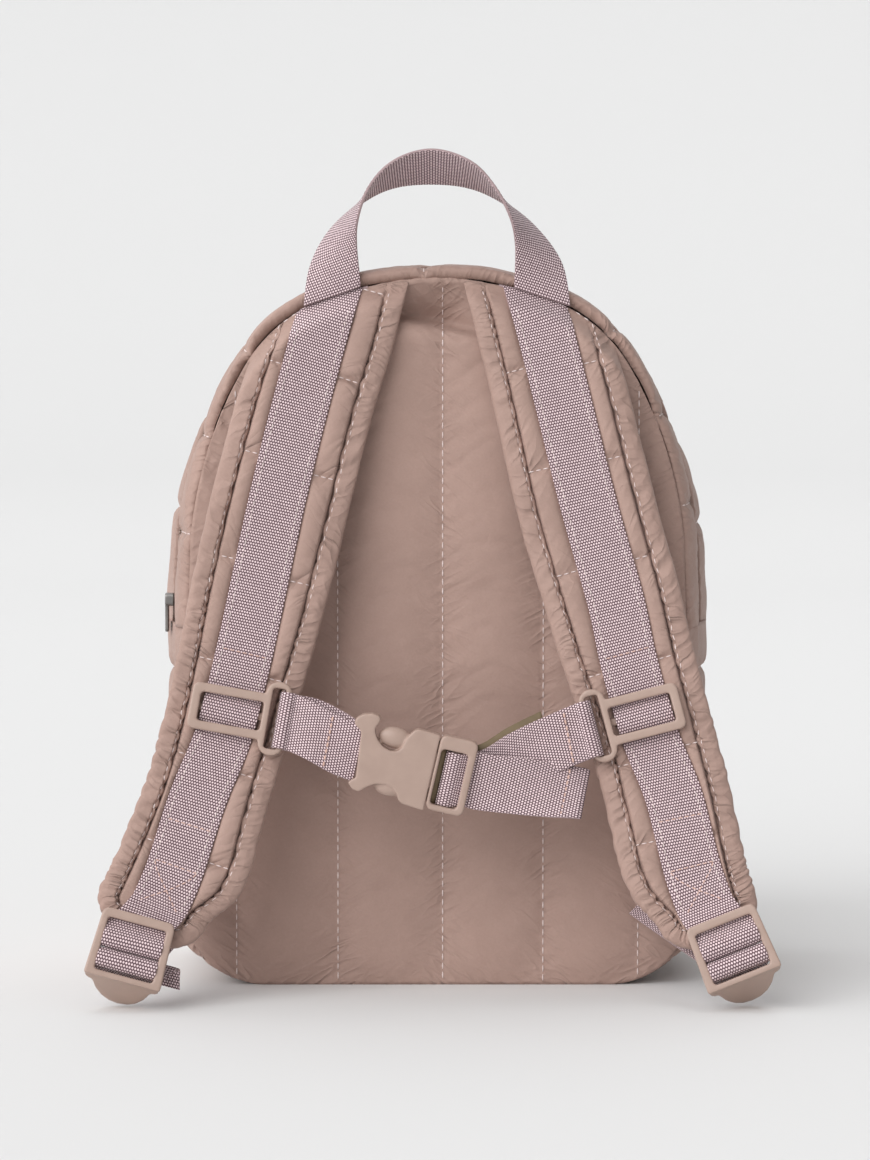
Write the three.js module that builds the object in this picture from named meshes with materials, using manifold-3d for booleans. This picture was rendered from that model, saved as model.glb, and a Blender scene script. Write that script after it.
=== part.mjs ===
// A child's quilted backpack, standing on its flat base with its shoulder straps towards -Y.
// Millimetres, +Z up. The bag is laid out with y = 0 on its back seam and x = 0 on its middle,
// then moved so that the origin is the bottom centre of its bounding box.
import * as THREE from 'three';
import { mergeVertices } from 'three/addons/utils/BufferGeometryUtils.js';
import Module from 'manifold-3d';

const wasm = await Module();
wasm.setup();

// Gaps between pieces, searches along a curve, and cloth
const GAP = 0.3;
const MERGE = 1e-4;
const HALVINGS = 40;
const WALL = 3.2;
const WEBBING_WIDTH = 25.4;
const WEBBING_THICKNESS = 1.4;

// Bag body: the seam outline seen from the back, from the top centre outwards
const BAG_DEPTH = 115;
const SEAM_TOP = 323;
const SEAM_ARCS = [
  { radius: 150, sweep: 20 },
  { radius: 70, sweep: 40 },
  { radius: 190, sweep: 25 },
];
const CORNER_RADIUS = 40;
const CORNER_CENTRE = 78;

// How far the gusset stands out past the seam at each height: a roll beside the seam and a belly
const SWELL = [
  { z: 0, roll: 0, belly: 0 },
  { z: 12, roll: 1.5, belly: 1.5 },
  { z: 40, roll: 4, belly: 4.5 },
  { z: 131, roll: 4.5, belly: 6.2 },
  { z: 177, roll: 4.8, belly: 8 },
  { z: 213, roll: 5, belly: 6.8 },
  { z: 250, roll: 5.5, belly: 3.3 },
  { z: 286, roll: 6, belly: 1 },
  { z: 323, roll: 6.9, belly: 0.5 },
];
const ROLL_DEPTH = 3;

// Cross stitches of the gusset: how many channels each stretch has, and how deep a stitch draws in
const ARCH_CHANNELS = 10;
const LOWER_CHANNELS = 12;
const STITCH_DRAW = 1.3;
const STITCH_SHARE = 0.25;
const CHANNEL_STEPS = 4;

// Zip: the chain lies between two strips of the arched gusset and ends above the lower gusset
const ZIP_NEAR = 23;
const ZIP_FAR = 31;
const ZIP_END_Z = 165;
const ZIP_RECESS = 1.6;
const ZIP_TAPE = 1.3;
const ZIP_COIL = 1.4;
const ZIP_SLIDER = { length: 11, width: 8, height: 4.2, corner: 2.5, aboveEnd: 8 };
const ZIP_PULL = { length: 24, width: 6, thickness: 1.6, corner: 2, overlap: 2 };

// Depths from the back seam at which each gusset strip is stepped, on its outer and its inner face
const FAR_SEAM = BAG_DEPTH - GAP;
const REAR_OUTER = [GAP, 1.5, 4, 9, 16, ZIP_NEAR];
const REAR_INNER = [GAP, ZIP_NEAR];
const FRONT_OUTER = [ZIP_FAR, 43, 57, 85, 105, 112.5, FAR_SEAM];
const FRONT_INNER = [ZIP_FAR, 57, 85, FAR_SEAM];
const LOWER_OUTER = [GAP, 1.5, 4, 12, 30, 57, 85, 105, 112.5, FAR_SEAM];
const LOWER_INNER = [GAP, 30, 85, FAR_SEAM];

// Quilted panels: vertical stitch lines, and the height of the puffs between them
const STITCH_LINES = [-92, -45.5, 2.5, 48.5, 92];
const PANEL_EDGE = 1.2;
const PANEL_RELIEF = 4;
const PANEL_STITCHED = 0.25;
const PANEL_ROUND = 0.7;
const PANEL_ROLL = 30;
const FRONT_DOME = 7;
const OUTLINE_STEPS = 240;
const COLUMN_SHARES = [0, 1 / 3, 2 / 3];
const EDGE_COLUMNS = [100, 107, 112.5, 116, 117.9];
const ROW_SHARES = [0, 0.03, 0.1, 0.24, 0.41, 0.58, 0.74, 0.88, 0.96, 1];

// Shoulder straps: middle of the pad from the top seam to its lower end, its full width with the
// binding, and how far its webbing lies off the middle
const STRAPS = {
  left: [
    { x: -41, y: -5.4, z: 329, width: 58, webbing: -3 },
    { x: -49, y: -9.5, z: 300, width: 60, webbing: -3.5 },
    { x: -59, y: -14, z: 268, width: 61, webbing: -2 },
    { x: -70.5, y: -20, z: 223, width: 62, webbing: -1.5 },
    { x: -81, y: -26.5, z: 178, width: 61, webbing: -0.5 },
    { x: -87.5, y: -31.5, z: 150, width: 60, webbing: 0 },
    { x: -95.5, y: -38, z: 118, width: 58, webbing: 0 },
    { x: -103.5, y: -45, z: 90, width: 57, webbing: -3 },
    { x: -114.5, y: -54, z: 56, width: 58, webbing: -3 },
    { x: -120.5, y: -58, z: 41, width: 57, webbing: -3.5 },
  ],
  right: [
    { x: 40, y: -5.4, z: 329, width: 58, webbing: 0.5 },
    { x: 48, y: -9.5, z: 300, width: 60, webbing: 0.5 },
    { x: 56, y: -14, z: 268, width: 61, webbing: 0.5 },
    { x: 66.5, y: -20, z: 223, width: 62, webbing: 1 },
    { x: 79, y: -26.5, z: 178, width: 61, webbing: 1 },
    { x: 86.5, y: -31.5, z: 150, width: 60, webbing: -0.5 },
    { x: 96, y: -38, z: 118, width: 58, webbing: -1 },
    { x: 103, y: -45, z: 90, width: 57, webbing: 2.5 },
    { x: 110.5, y: -54, z: 56, width: 55, webbing: 3.5 },
    { x: 116, y: -58, z: 41, width: 53, webbing: 3.5 },
  ],
};
const STRAP_STEPS = 18;
const STRAP_END = 16.5;

// Pad of a strap: height of its front and back over its middle, puffs between its cross stitches,
// thinner at the top seam, flat for a little more than the webbing's width
const PAD_FRONT = 3.8;
const PAD_BACK = 4.2;
const PAD_PUFF = 1.4;
const PAD_CHANNEL = 45;
const PAD_TOP_SHARE = 0.72;
const PAD_TOP_LENGTH = 0.2;
const PAD_FLAT_MARGIN = 0.8;
const PAD_FLAT_LIMIT = 0.9;
const PAD_BACK_FLAT = 0.55;
const PAD_EDGE_SHARE = 0.5;
const PAD_FADE = 0.85;
const PAD_END_ANGLES = [35, 62, 80];
const BINDING_WIDTH = 9;
const BINDING_THICKNESS = 8.4;
const BINDING_TURN = 30;
const BINDING_SIDES = 6;

// Webbing sewn along a strap, and where it leaves the pad for the lock
const WEBBING_STEPS = 20;
const WEBBING_LEAVES = 0.97;
const BULGE_PARTS = [-1, -0.72, -0.4, 0, 0.4, 0.72, 1];
const BULGE_SLOPE = 0.6;
const BULGE_MARGIN = 0.4;
const TURN_CLEAR = { along: 0.8, up: 0.4 };
const TURN_STEP = 32;

// Grab handle: far and near edge of the webbing from the left leg over the top to the right leg; the
// near edge is the inner one on the legs and the upper one over the top
const HANDLE = [
  { farX: -61, farY: -1.3, farZ: 301, nearX: -34.5, nearY: -1.3, nearZ: 310 },
  { farX: -60.6, farY: -1.3, farZ: 312, nearX: -34.8, nearY: -1.5, nearZ: 321 },
  { farX: -57.7, farY: 4.5, farZ: 330, nearX: -36.4, nearY: -5.5, nearZ: 338 },
  { farX: -48.5, farY: 10.5, farZ: 346.5, nearX: -36, nearY: -11, nearZ: 349 },
  { farX: -31.6, farY: 12, farZ: 360.5, nearX: -31.2, nearY: -12, nearZ: 363.5 },
  { farX: -19.2, farY: 10.5, farZ: 365.5, nearX: -20.5, nearY: -11.5, nearZ: 375.5 },
  { farX: -2.8, farY: 10, farZ: 367, nearX: -2.8, nearY: -10, nearZ: 381.3 },
  { farX: 13.7, farY: 10.5, farZ: 365.5, nearX: 15.5, nearY: -11.5, nearZ: 375.5 },
  { farX: 27, farY: 12, farZ: 360.5, nearX: 26.5, nearY: -12, nearZ: 363.5 },
  { farX: 43.6, farY: 10.5, farZ: 348.5, nearX: 33.4, nearY: -11, nearZ: 349.5 },
  { farX: 56.6, farY: 4.5, farZ: 331, nearX: 35.4, nearY: -5.5, nearZ: 337.5 },
  { farX: 60.4, farY: -1.3, farZ: 312, nearX: 35, nearY: -1.5, nearZ: 320.5 },
  { farX: 61, farY: -1.3, farZ: 301, nearX: 34.8, nearY: -1.3, nearZ: 310 },
];

const HANDLE_STEPS = 3;

// Moulded fittings
const SLIDER = { width: 36.4, height: 21, bar: 4, thickness: 4.6, passage: 1.9, corner: 3, holeCorner: 1.2 };
const SLIDER_BAR = { width: 3.4, low: -1, high: 0.9, root: 0.4 };
const RING = { width: 12, height: 33.4, bar: 3, low: 0.5, corner: 6, holeCorner: 1.2 };
const SLIDERS = {
  left: { z: 128, aside: 0.2, tilt: -10, ring: 1 },
  right: { z: 127, aside: -0.8, tilt: 14.5, ring: -1 },
};
const LOCK = { top: 32, bottom: 34.5, height: 31, side: 2.8, topBar: 6, thickness: 5, passage: 2.2 };
const LOCK_CORNER = { round: 3, flare: 0.3, foot: 2 };
const LOCK_LIP = { length: 12, shoulder: 4, round: 8, under: 1.6 };
const LOCK_BARS = [-12.6, -21.8];
const LOCK_BAR = { width: 3.4, height: 2.2, lift: 0.5, root: 0.5 };
const LOCK_WINDOW = { end: -27.6, corner: 1.2 };
const LOCK_LIFT = 2.6;
const LOCK_WRAP = { ahead: 2, from: 50, to: 285 };
const LOCKS = {
  left: { aside: -6, ahead: 5.8, tilt: -15, lean: 15 },
  right: { aside: 4, ahead: 5, tilt: 22, lean: 15 },
};

// Adjuster webbing: its sewn end at the bag's bottom corner, its way round the lock and its tail
const ANCHORS = {
  left: { x: 106, z: 42, spread: 45 },
  right: { x: 97, z: 40, spread: 45 },
};
const ADJUSTER = { from: 205, to: -5, behind: 2.5, below: 6 };
const ADJUSTER_FOLD = [{ back: 0.4, down: 2.6 }, { back: 1.6, down: 6 }];
const ADJUSTER_SHARES = [0.25, 0.5, 0.75, 1];
const TAIL = { length: 24, drop: 12, inward: 6 };

// Fastened buckle and chest strap
const BUCKLE = { x: -8.5, y: -50, z: 105, tilt: -13, height: 34, thickness: 8 };
const RECEIVER = { left: -27.5, right: 6.5, waist: 9.5, ear: 17, neck: 13.6, chamfer: 1, wall: 3 };
const RECEIVER_STEPS = { ear: 4, bend: 7, waist: 13, flare: 17, neck: 19 };
const LATCH = { left: 6.9, right: 24, bar: 3.4, window: 27, neck: 1.6, corner: 3, holeCorner: 1.5 };
const LATCH_BAR = { left: 13.3, right: 16.7, low: -1.6, high: 0.6, root: 0.5 };
const LATCH_ARM = { tip: -14, near: 8.6, far: 13.2, corner: 0.8, deep: 2, hold: 4, web: 2.5 };
const LATCH_PASSAGE = 1.3;
const LATCH_WRAP = { from: 50, to: 270 };
const RING_WRAP = { from: 40, to: 320 };
const CHEST_LAYER = WEBBING_THICKNESS / 2 + 0.25;
const CHEST_SHARES = [0, 0.35, 0.7];
const CHEST_FOLD = 2;
const CHEST_TAIL = { length: 50, droop: 5, lift: 1.6, flat: 4, rise: 0.2, twist: -28 };

// Space above the top seam, where sewn ends are cut off
const TRIM = { wide: 200, near: -60, far: 12, low: 255, high: 400 };

// Colours of the cloth and fittings
const NYLON = { color: 0x967d70, roughness: 0.7, metalness: 0 };
const WEBBING = { color: 0xa58c8c, roughness: 0.85, metalness: 0 };
const PLASTIC = { color: 0xa38b7e, roughness: 0.5, metalness: 0 };
const METAL = { color: 0x8c8a88, roughness: 0.35, metalness: 0.9 };
const ZIP = { color: 0x6f5b51, roughness: 0.6, metalness: 0 };

const radians = THREE.MathUtils.degToRad;
const vec = (x, y, z) => new THREE.Vector3(x, y, z);

// Solids from loops of points, and joins and cuts between solids

function signedVolume(points, faces) {
  let volume = 0;
  for (const [a, b, c] of faces) {
    volume += points[a].dot(points[b].clone().cross(points[c]));
  }
  return volume / 6;
}

function closedGeometry(points, faces) {
  const outward = signedVolume(points, faces) > 0 ? faces : faces.map(([a, b, c]) => [a, c, b]);
  const geometry = new THREE.BufferGeometry();
  const numbers = points.flatMap((point) => point.toArray());
  geometry.setAttribute('position', new THREE.Float32BufferAttribute(numbers, 3));
  geometry.setIndex(outward.flat());
  return geometry;
}

// Triangles that fill a flat loop, all turning the same way as the loop
function fill(outline) {
  const turn = Math.sign(THREE.ShapeUtils.area(outline));
  return THREE.ShapeUtils.triangulateShape(outline, []).map(([a, b, c]) => {
    const same = Math.sign(THREE.ShapeUtils.area([outline[a], outline[b], outline[c]])) === turn;
    return same ? [a, b, c] : [a, c, b];
  });
}

// A skin over a row of rings, with both end rings filled by the section's own triangles
function loft(rings, startSection, endSection) {
  const count = rings[0].length;
  const faces = [];
  for (let i = 0; i + 1 < rings.length; i += 1) {
    for (let j = 0; j < count; j += 1) {
      const next = (j + 1) % count;
      const a = i * count + j;
      const b = i * count + next;
      faces.push([a, b, b + count], [a, b + count, a + count]);
    }
  }
  const last = (rings.length - 1) * count;
  for (const [a, b, c] of fill(startSection)) {
    faces.push([a, c, b]);
  }
  for (const [a, b, c] of fill(endSection)) {
    faces.push([last + a, last + b, last + c]);
  }
  return closedGeometry(rings.flat(), faces);
}

function solidOf(geometry) {
  const bare = geometry.clone();
  bare.deleteAttribute('normal');
  bare.deleteAttribute('uv');
  const merged = mergeVertices(bare, MERGE);
  const mesh = new wasm.Mesh({
    numProp: 3,
    vertProperties: new Float32Array(merged.attributes.position.array),
    triVerts: new Uint32Array(merged.index.array),
  });
  return new wasm.Manifold(mesh);
}

function geometryOf(solid) {
  const { vertProperties, triVerts } = solid.getMesh();
  const geometry = new THREE.BufferGeometry();
  geometry.setAttribute('position', new THREE.Float32BufferAttribute(vertProperties, 3));
  geometry.setIndex(Array.from(triVerts));
  return geometry;
}

// A box between two corners
function block(low, high) {
  const size = high.clone().sub(low);
  const geometry = new THREE.BoxGeometry(size.x, size.y, size.z);
  geometry.translate((low.x + high.x) / 2, (low.y + high.y) / 2, (low.z + high.z) / 2);
  return solidOf(geometry);
}

// A plate of the given outline, lying from z = low to z = high
function plate(shape, low, high, curveSegments = 3) {
  const settings = { depth: high - low, bevelEnabled: false, curveSegments };
  const geometry = new THREE.ExtrudeGeometry(shape, settings);
  geometry.translate(0, 0, low);
  return solidOf(geometry);
}

function roundedRectangle(left, right, bottom, top, radius) {
  const shape = new THREE.Shape();
  shape.moveTo(left + radius, bottom);
  shape.lineTo(right - radius, bottom);
  shape.absarc(right - radius, bottom + radius, radius, -Math.PI / 2, 0, false);
  shape.lineTo(right, top - radius);
  shape.absarc(right - radius, top - radius, radius, 0, Math.PI / 2, false);
  shape.lineTo(left + radius, top);
  shape.absarc(left + radius, top - radius, radius, Math.PI / 2, Math.PI, false);
  shape.lineTo(left, bottom + radius);
  shape.absarc(left + radius, bottom + radius, radius, Math.PI, Math.PI * 1.5, false);
  return shape;
}

const bag = new THREE.Group();

function addPiece(name, geometry, look, parent = bag) {
  const mesh = new THREE.Mesh(geometry, new THREE.MeshStandardMaterial(look));
  mesh.name = name;
  parent.add(mesh);
  return mesh;
}

// Seam outline, clockwise from the top centre, in x and z

function seamOutline() {
  const path = new THREE.Path();
  const stops = [];
  let point = new THREE.Vector2(0, SEAM_TOP);
  let heading = 0;
  path.moveTo(point.x, point.y);
  for (const { radius, sweep } of SEAM_ARCS) {
    const from = radians(heading);
    const to = radians(heading + sweep);
    const centre = new THREE.Vector2(point.x - radius * Math.sin(from), point.y - radius * Math.cos(from));
    stops.push({ centre, radius, from, to });
    path.absarc(centre.x, centre.y, radius, Math.PI / 2 - from, Math.PI / 2 - to, true);
    point = new THREE.Vector2(centre.x + radius * Math.sin(to), centre.y + radius * Math.cos(to));
    heading += sweep;
  }
  path.lineTo(CORNER_CENTRE + CORNER_RADIUS, CORNER_RADIUS);
  path.absarc(CORNER_CENTRE, CORNER_RADIUS, CORNER_RADIUS, 0, -Math.PI / 2, true);
  path.lineTo(-CORNER_CENTRE, 0);
  path.absarc(-CORNER_CENTRE, CORNER_RADIUS, CORNER_RADIUS, -Math.PI / 2, -Math.PI, true);
  path.lineTo(-point.x, point.y);
  for (const { centre, radius, from, to } of stops.reverse()) {
    path.absarc(-centre.x, centre.y, radius, Math.PI / 2 + to, Math.PI / 2 + from, true);
  }
  return path;
}

const seam = seamOutline();
const seamLength = seam.getLength();

// Share of the way round the outline at which the right side reaches a height
function shareAtHeight(z) {
  let low = 0;
  let high = 0.5;
  for (let i = 0; i < HALVINGS; i += 1) {
    const middle = (low + high) / 2;
    if (seam.getPoint(middle).y > z) {
      low = middle;
    } else {
      high = middle;
    }
  }
  return low;
}

// A value of a table read at a height between its rows
function readTable(rows, key, z) {
  const last = rows.length - 1;
  if (z >= rows[last].z) {
    return rows[last][key];
  }
  const i = rows.findIndex((row, k) => k < last && z <= rows[k + 1].z);
  const share = (z - rows[i].z) / (rows[i + 1].z - rows[i].z);
  return THREE.MathUtils.lerp(rows[i][key], rows[i + 1][key], Math.max(share, 0));
}

// Distance of the gusset's outer face from the seam outline at a height and a depth
function swell(z, depth) {
  const near = 1 - Math.exp(-depth / ROLL_DEPTH);
  const far = 1 - Math.exp(-(BAG_DEPTH - depth) / ROLL_DEPTH);
  const roll = readTable(SWELL, 'roll', z) * near * far;
  return roll + readTable(SWELL, 'belly', z) * Math.sin((Math.PI * depth) / BAG_DEPTH) ** 2;
}

function skinPoint(share, depth, inset) {
  const turn = ((share % 1) + 1) % 1;
  const point = seam.getPoint(turn);
  const along = seam.getTangent(turn);
  const out = swell(point.y, depth) - inset;
  return vec(point.x - along.y * out, depth, point.y + along.x * out);
}

// Depth of a cross stitch in the outer face: none on the flat base, where the gusset has no roll
function stitchDraw(share, depth) {
  const { y: z } = seam.getPoint(((share % 1) + 1) % 1);
  return Math.min(STITCH_DRAW, STITCH_SHARE * swell(z, depth));
}

// A strip of gusset along part of the outline: rows of depth and inset go round its section
function gussetStrip(from, to, channels, section) {
  const steps = channels * CHANNEL_STEPS;
  const rings = [];
  for (let i = 0; i <= steps; i += 1) {
    const share = THREE.MathUtils.lerp(from, to, i / steps);
    const stitched = i % CHANNEL_STEPS === CHANNEL_STEPS / 2;
    rings.push(section.map(({ depth, inset }) => {
      const draw = stitched && inset === 0 ? stitchDraw(share, depth) : 0;
      return skinPoint(share, depth, inset + draw);
    }));
  }
  const cap = (share) => section.map(({ depth, inset }) => {
    const point = seam.getPoint(((share % 1) + 1) % 1);
    return new THREE.Vector2(depth, swell(point.y, depth) - inset);
  });
  return loft(rings, cap(from), cap(to));
}

function wallSection(outerDepths, innerDepths) {
  const outer = outerDepths.map((depth) => ({ depth, inset: 0 }));
  const inner = innerDepths.map((depth) => ({ depth, inset: WALL }));
  return outer.concat(inner.reverse());
}

const zipShare = shareAtHeight(ZIP_END_Z);
const endGap = GAP / seamLength;

const rearSection = wallSection(REAR_OUTER, REAR_INNER);
addPiece('rear_gusset', gussetStrip(-zipShare, zipShare, ARCH_CHANNELS, rearSection), NYLON);

const frontSection = wallSection(FRONT_OUTER, FRONT_INNER);
addPiece('front_gusset', gussetStrip(-zipShare, zipShare, ARCH_CHANNELS, frontSection), NYLON);

const lowerSection = wallSection(LOWER_OUTER, LOWER_INNER);
const lowerFrom = zipShare + endGap;
addPiece('lower_gusset', gussetStrip(lowerFrom, 1 - lowerFrom, LOWER_CHANNELS, lowerSection), NYLON);

// Zip chain: a flat tape with the coil as a ridge along its middle
const zipMiddle = (ZIP_NEAR + ZIP_FAR) / 2;
const zipSection = [
  { depth: ZIP_NEAR + GAP, inset: ZIP_RECESS },
  { depth: zipMiddle - ZIP_COIL, inset: ZIP_RECESS },
  { depth: zipMiddle, inset: ZIP_RECESS - ZIP_COIL },
  { depth: zipMiddle + ZIP_COIL, inset: ZIP_RECESS },
  { depth: ZIP_FAR - GAP, inset: ZIP_RECESS },
  { depth: ZIP_FAR - GAP, inset: ZIP_RECESS + ZIP_TAPE },
  { depth: ZIP_NEAR + GAP, inset: ZIP_RECESS + ZIP_TAPE },
];
addPiece('zip_chain', gussetStrip(-zipShare, zipShare, ARCH_CHANNELS, zipSection), ZIP);

// Zip slider with its pull hanging down, on the left end of the chain
function zipSlider() {
  const { length, width, height, corner } = ZIP_SLIDER;
  const body = plate(roundedRectangle(-width / 2, width / 2, -length / 2, length / 2, corner), 0, height);
  const pullTop = -length / 2 + ZIP_PULL.overlap;
  const pullHalf = ZIP_PULL.width / 2;
  const pull = roundedRectangle(-pullHalf, pullHalf, pullTop - ZIP_PULL.length, pullTop, ZIP_PULL.corner);
  return geometryOf(body.add(plate(pull, height - ZIP_PULL.thickness, height)));
}

const zipSliderShare = ZIP_SLIDER.aboveEnd / seamLength - zipShare;
const zipSeat = skinPoint(zipSliderShare, zipMiddle, ZIP_RECESS - ZIP_COIL);
const zipPiece = addPiece('zip_slider', zipSlider(), METAL);
zipPiece.position.copy(zipSeat).add(vec(-GAP, 0, 0));
zipPiece.setRotationFromMatrix(new THREE.Matrix4().makeBasis(vec(0, -1, 0), vec(0, 0, 1), vec(-1, 0, 0)));

// Quilted panels: a grid of columns between the lower and upper edge of the outline

const outlinePoints = seam.getSpacedPoints(OUTLINE_STEPS).slice(0, OUTLINE_STEPS);

function outlineHeights(x) {
  const heights = [];
  outlinePoints.forEach((a, i) => {
    const b = outlinePoints[(i + 1) % outlinePoints.length];
    if ((a.x - x) * (b.x - x) <= 0 && a.x !== b.x) {
      heights.push(a.y + ((b.y - a.y) * (x - a.x)) / (b.x - a.x));
    }
  });
  return { low: Math.min(...heights), high: Math.max(...heights) };
}

function distanceToSeam(x, z) {
  return Math.min(...outlinePoints.map((point) => Math.hypot(point.x - x, point.y - z)));
}

// Height of the quilting over the panel's flat side: puffs between the stitch lines, thin at the seam
function quilting(x, z) {
  const lines = [-CORNER_CENTRE - CORNER_RADIUS, ...STITCH_LINES, CORNER_CENTRE + CORNER_RADIUS];
  const i = Math.max(lines.findIndex((line) => line >= x), 1);
  const share = THREE.MathUtils.clamp((x - lines[i - 1]) / (lines[i] - lines[i - 1]), 0, 1);
  const puff = THREE.MathUtils.lerp(PANEL_STITCHED, 1, Math.sin(Math.PI * share) ** PANEL_ROUND);
  const roll = THREE.MathUtils.smoothstep(distanceToSeam(x, z), 0, PANEL_ROLL);
  return PANEL_EDGE + PANEL_RELIEF * puff * Math.sqrt(roll);
}

function panelColumns() {
  const columns = STITCH_LINES.flatMap((line, i) => {
    const next = STITCH_LINES[i + 1] ?? line;
    return COLUMN_SHARES.map((share) => THREE.MathUtils.lerp(line, next, share));
  });
  const sides = EDGE_COLUMNS.flatMap((x) => [-x, x]);
  return [...new Set(columns.concat(sides))].sort((a, b) => a - b);
}

// A panel between two depths at each place, joined round the edge
function quiltedPanel(faceDepth, innerDepth) {
  const columns = panelColumns();
  const rows = ROW_SHARES.length;
  const points = [];
  for (const depth of [faceDepth, innerDepth]) {
    for (const x of columns) {
      const { low, high } = outlineHeights(x);
      for (const share of ROW_SHARES) {
        const z = THREE.MathUtils.lerp(low, high, share);
        points.push(vec(x, depth(x, z), z));
      }
    }
  }
  const inner = columns.length * rows;
  const faces = [];
  for (let i = 0; i + 1 < columns.length; i += 1) {
    for (let j = 0; j + 1 < rows; j += 1) {
      const a = i * rows + j;
      const b = a + rows;
      faces.push([a, b, b + 1], [a, b + 1, a + 1]);
      faces.push([inner + a, inner + b + 1, inner + b], [inner + a, inner + a + 1, inner + b + 1]);
    }
  }
  const last = columns.length - 1;
  const loop = columns.map((x, i) => i * rows);
  for (let j = 1; j < rows; j += 1) {
    loop.push(last * rows + j);
  }
  for (let i = last - 1; i >= 0; i -= 1) {
    loop.push(i * rows + rows - 1);
  }
  for (let j = rows - 2; j > 0; j -= 1) {
    loop.push(j);
  }
  loop.forEach((a, i) => {
    const b = loop[(i + 1) % loop.length];
    faces.push([a, inner + a, inner + b], [a, inner + b, b]);
  });
  return closedGeometry(points, faces);
}

addPiece('back_panel', quiltedPanel((x, z) => -quilting(x, z), () => 0), NYLON);

// The front panel bows out over the load as well
function frontBow(x, z) {
  return BAG_DEPTH + FRONT_DOME * THREE.MathUtils.smoothstep(distanceToSeam(x, z), 0, CORNER_CENTRE);
}

addPiece('front_panel', quiltedPanel((x, z) => frontBow(x, z) + quilting(x, z), frontBow), NYLON);

// Webbing: a ribbon of even thickness through rows of left and right edge points

function ribbon(rows, thickness = WEBBING_THICKNESS) {
  const middles = rows.map(({ left, right }) => left.clone().add(right).multiplyScalar(0.5));
  const rings = rows.map(({ left, right }, i) => {
    const before = middles[Math.max(i - 1, 0)];
    const after = middles[Math.min(i + 1, rows.length - 1)];
    const along = after.clone().sub(before).normalize();
    const across = right.clone().sub(left).normalize();
    const lift = across.clone().cross(along).normalize().multiplyScalar(thickness / 2);
    const under = lift.clone().negate();
    return [
      left.clone().add(under),
      right.clone().add(under),
      right.clone().add(lift),
      left.clone().add(lift),
    ];
  });
  const section = [[0, 0], [1, 0], [1, 1], [0, 1]].map(([x, y]) => new THREE.Vector2(x, y));
  return loft(rings, section, section);
}

// Rows of centre points and directions across, made into edge points of the webbing's width
function centredRows(centres, acrossAt, width = WEBBING_WIDTH) {
  return centres.map((centre, i) => {
    const across = acrossAt(i).clone().normalize();
    return {
      left: centre.clone().addScaledVector(across, -width / 2),
      right: centre.clone().addScaledVector(across, width / 2),
    };
  });
}

// The seam outline, moved out by an offset, as a prism between two depths
function outlinePrism(offset, near, far) {
  const shape = new THREE.Shape(outlinePoints.filter((point, i) => i % 2 === 0).map((point) => {
    const centre = new THREE.Vector2(0, SEAM_TOP / 2);
    return point.clone().add(point.clone().sub(centre).normalize().multiplyScalar(offset));
  }));
  const geometry = new THREE.ExtrudeGeometry(shape, { depth: far - near, bevelEnabled: false });
  geometry.rotateX(Math.PI / 2);
  geometry.translate(0, far, 0);
  return solidOf(geometry);
}

const trimSpace = block(vec(-TRIM.wide, TRIM.near, TRIM.low), vec(TRIM.wide, TRIM.far, TRIM.high));
const aboveSeam = trimSpace.subtract(outlinePrism(-GAP, TRIM.near - 1, TRIM.far + 1));
const belowSeam = outlinePrism(GAP, TRIM.near, TRIM.far);

function grabHandle() {
  const far = new THREE.CatmullRomCurve3(HANDLE.map((row) => vec(row.farX, row.farY, row.farZ)));
  const near = new THREE.CatmullRomCurve3(HANDLE.map((row) => vec(row.nearX, row.nearY, row.nearZ)));
  const steps = (HANDLE.length - 1) * HANDLE_STEPS;
  const rows = [];
  for (let i = 0; i <= steps; i += 1) {
    rows.push({ left: far.getPoint(i / steps), right: near.getPoint(i / steps) });
  }
  return geometryOf(solidOf(ribbon(rows)).subtract(belowSeam));
}

addPiece('grab_handle', grabHandle(), WEBBING);

// Shoulder straps

function makeStrap(rows) {
  const middle = new THREE.CatmullRomCurve3(rows.map((row) => vec(row.x, row.y, row.z)));
  const sizes = new THREE.CatmullRomCurve3(rows.map((row) => vec(row.width, row.webbing, 0)));
  const frame = (share) => {
    const along = middle.getTangent(share);
    const across = vec(0, -1, 0).cross(along).normalize();
    const out = along.clone().cross(across);
    const size = sizes.getPoint(share);
    return { centre: middle.getPoint(share), along, across, out, width: size.x, webbing: size.y };
  };
  const shareAt = (z) => {
    let low = 0;
    let high = 1;
    for (let i = 0; i < HALVINGS; i += 1) {
      const half = (low + high) / 2;
      if (middle.getPoint(half).z > z) {
        low = half;
      } else {
        high = half;
      }
    }
    return low;
  };
  return { frame, shareAt, length: middle.getLength() };
}

// Point in a strap's own directions: across it, out from it and along it
function strapPoint({ centre, across, out, along }, side, height, ahead = 0) {
  const point = centre.clone().addScaledVector(across, side);
  return point.addScaledVector(out, height).addScaledVector(along, ahead);
}

// Thickness of the pad and its binding, from the top seam to where it is full
function padThickness(share) {
  return THREE.MathUtils.lerp(PAD_TOP_SHARE, 1, THREE.MathUtils.smoothstep(share, 0, PAD_TOP_LENGTH));
}

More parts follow.
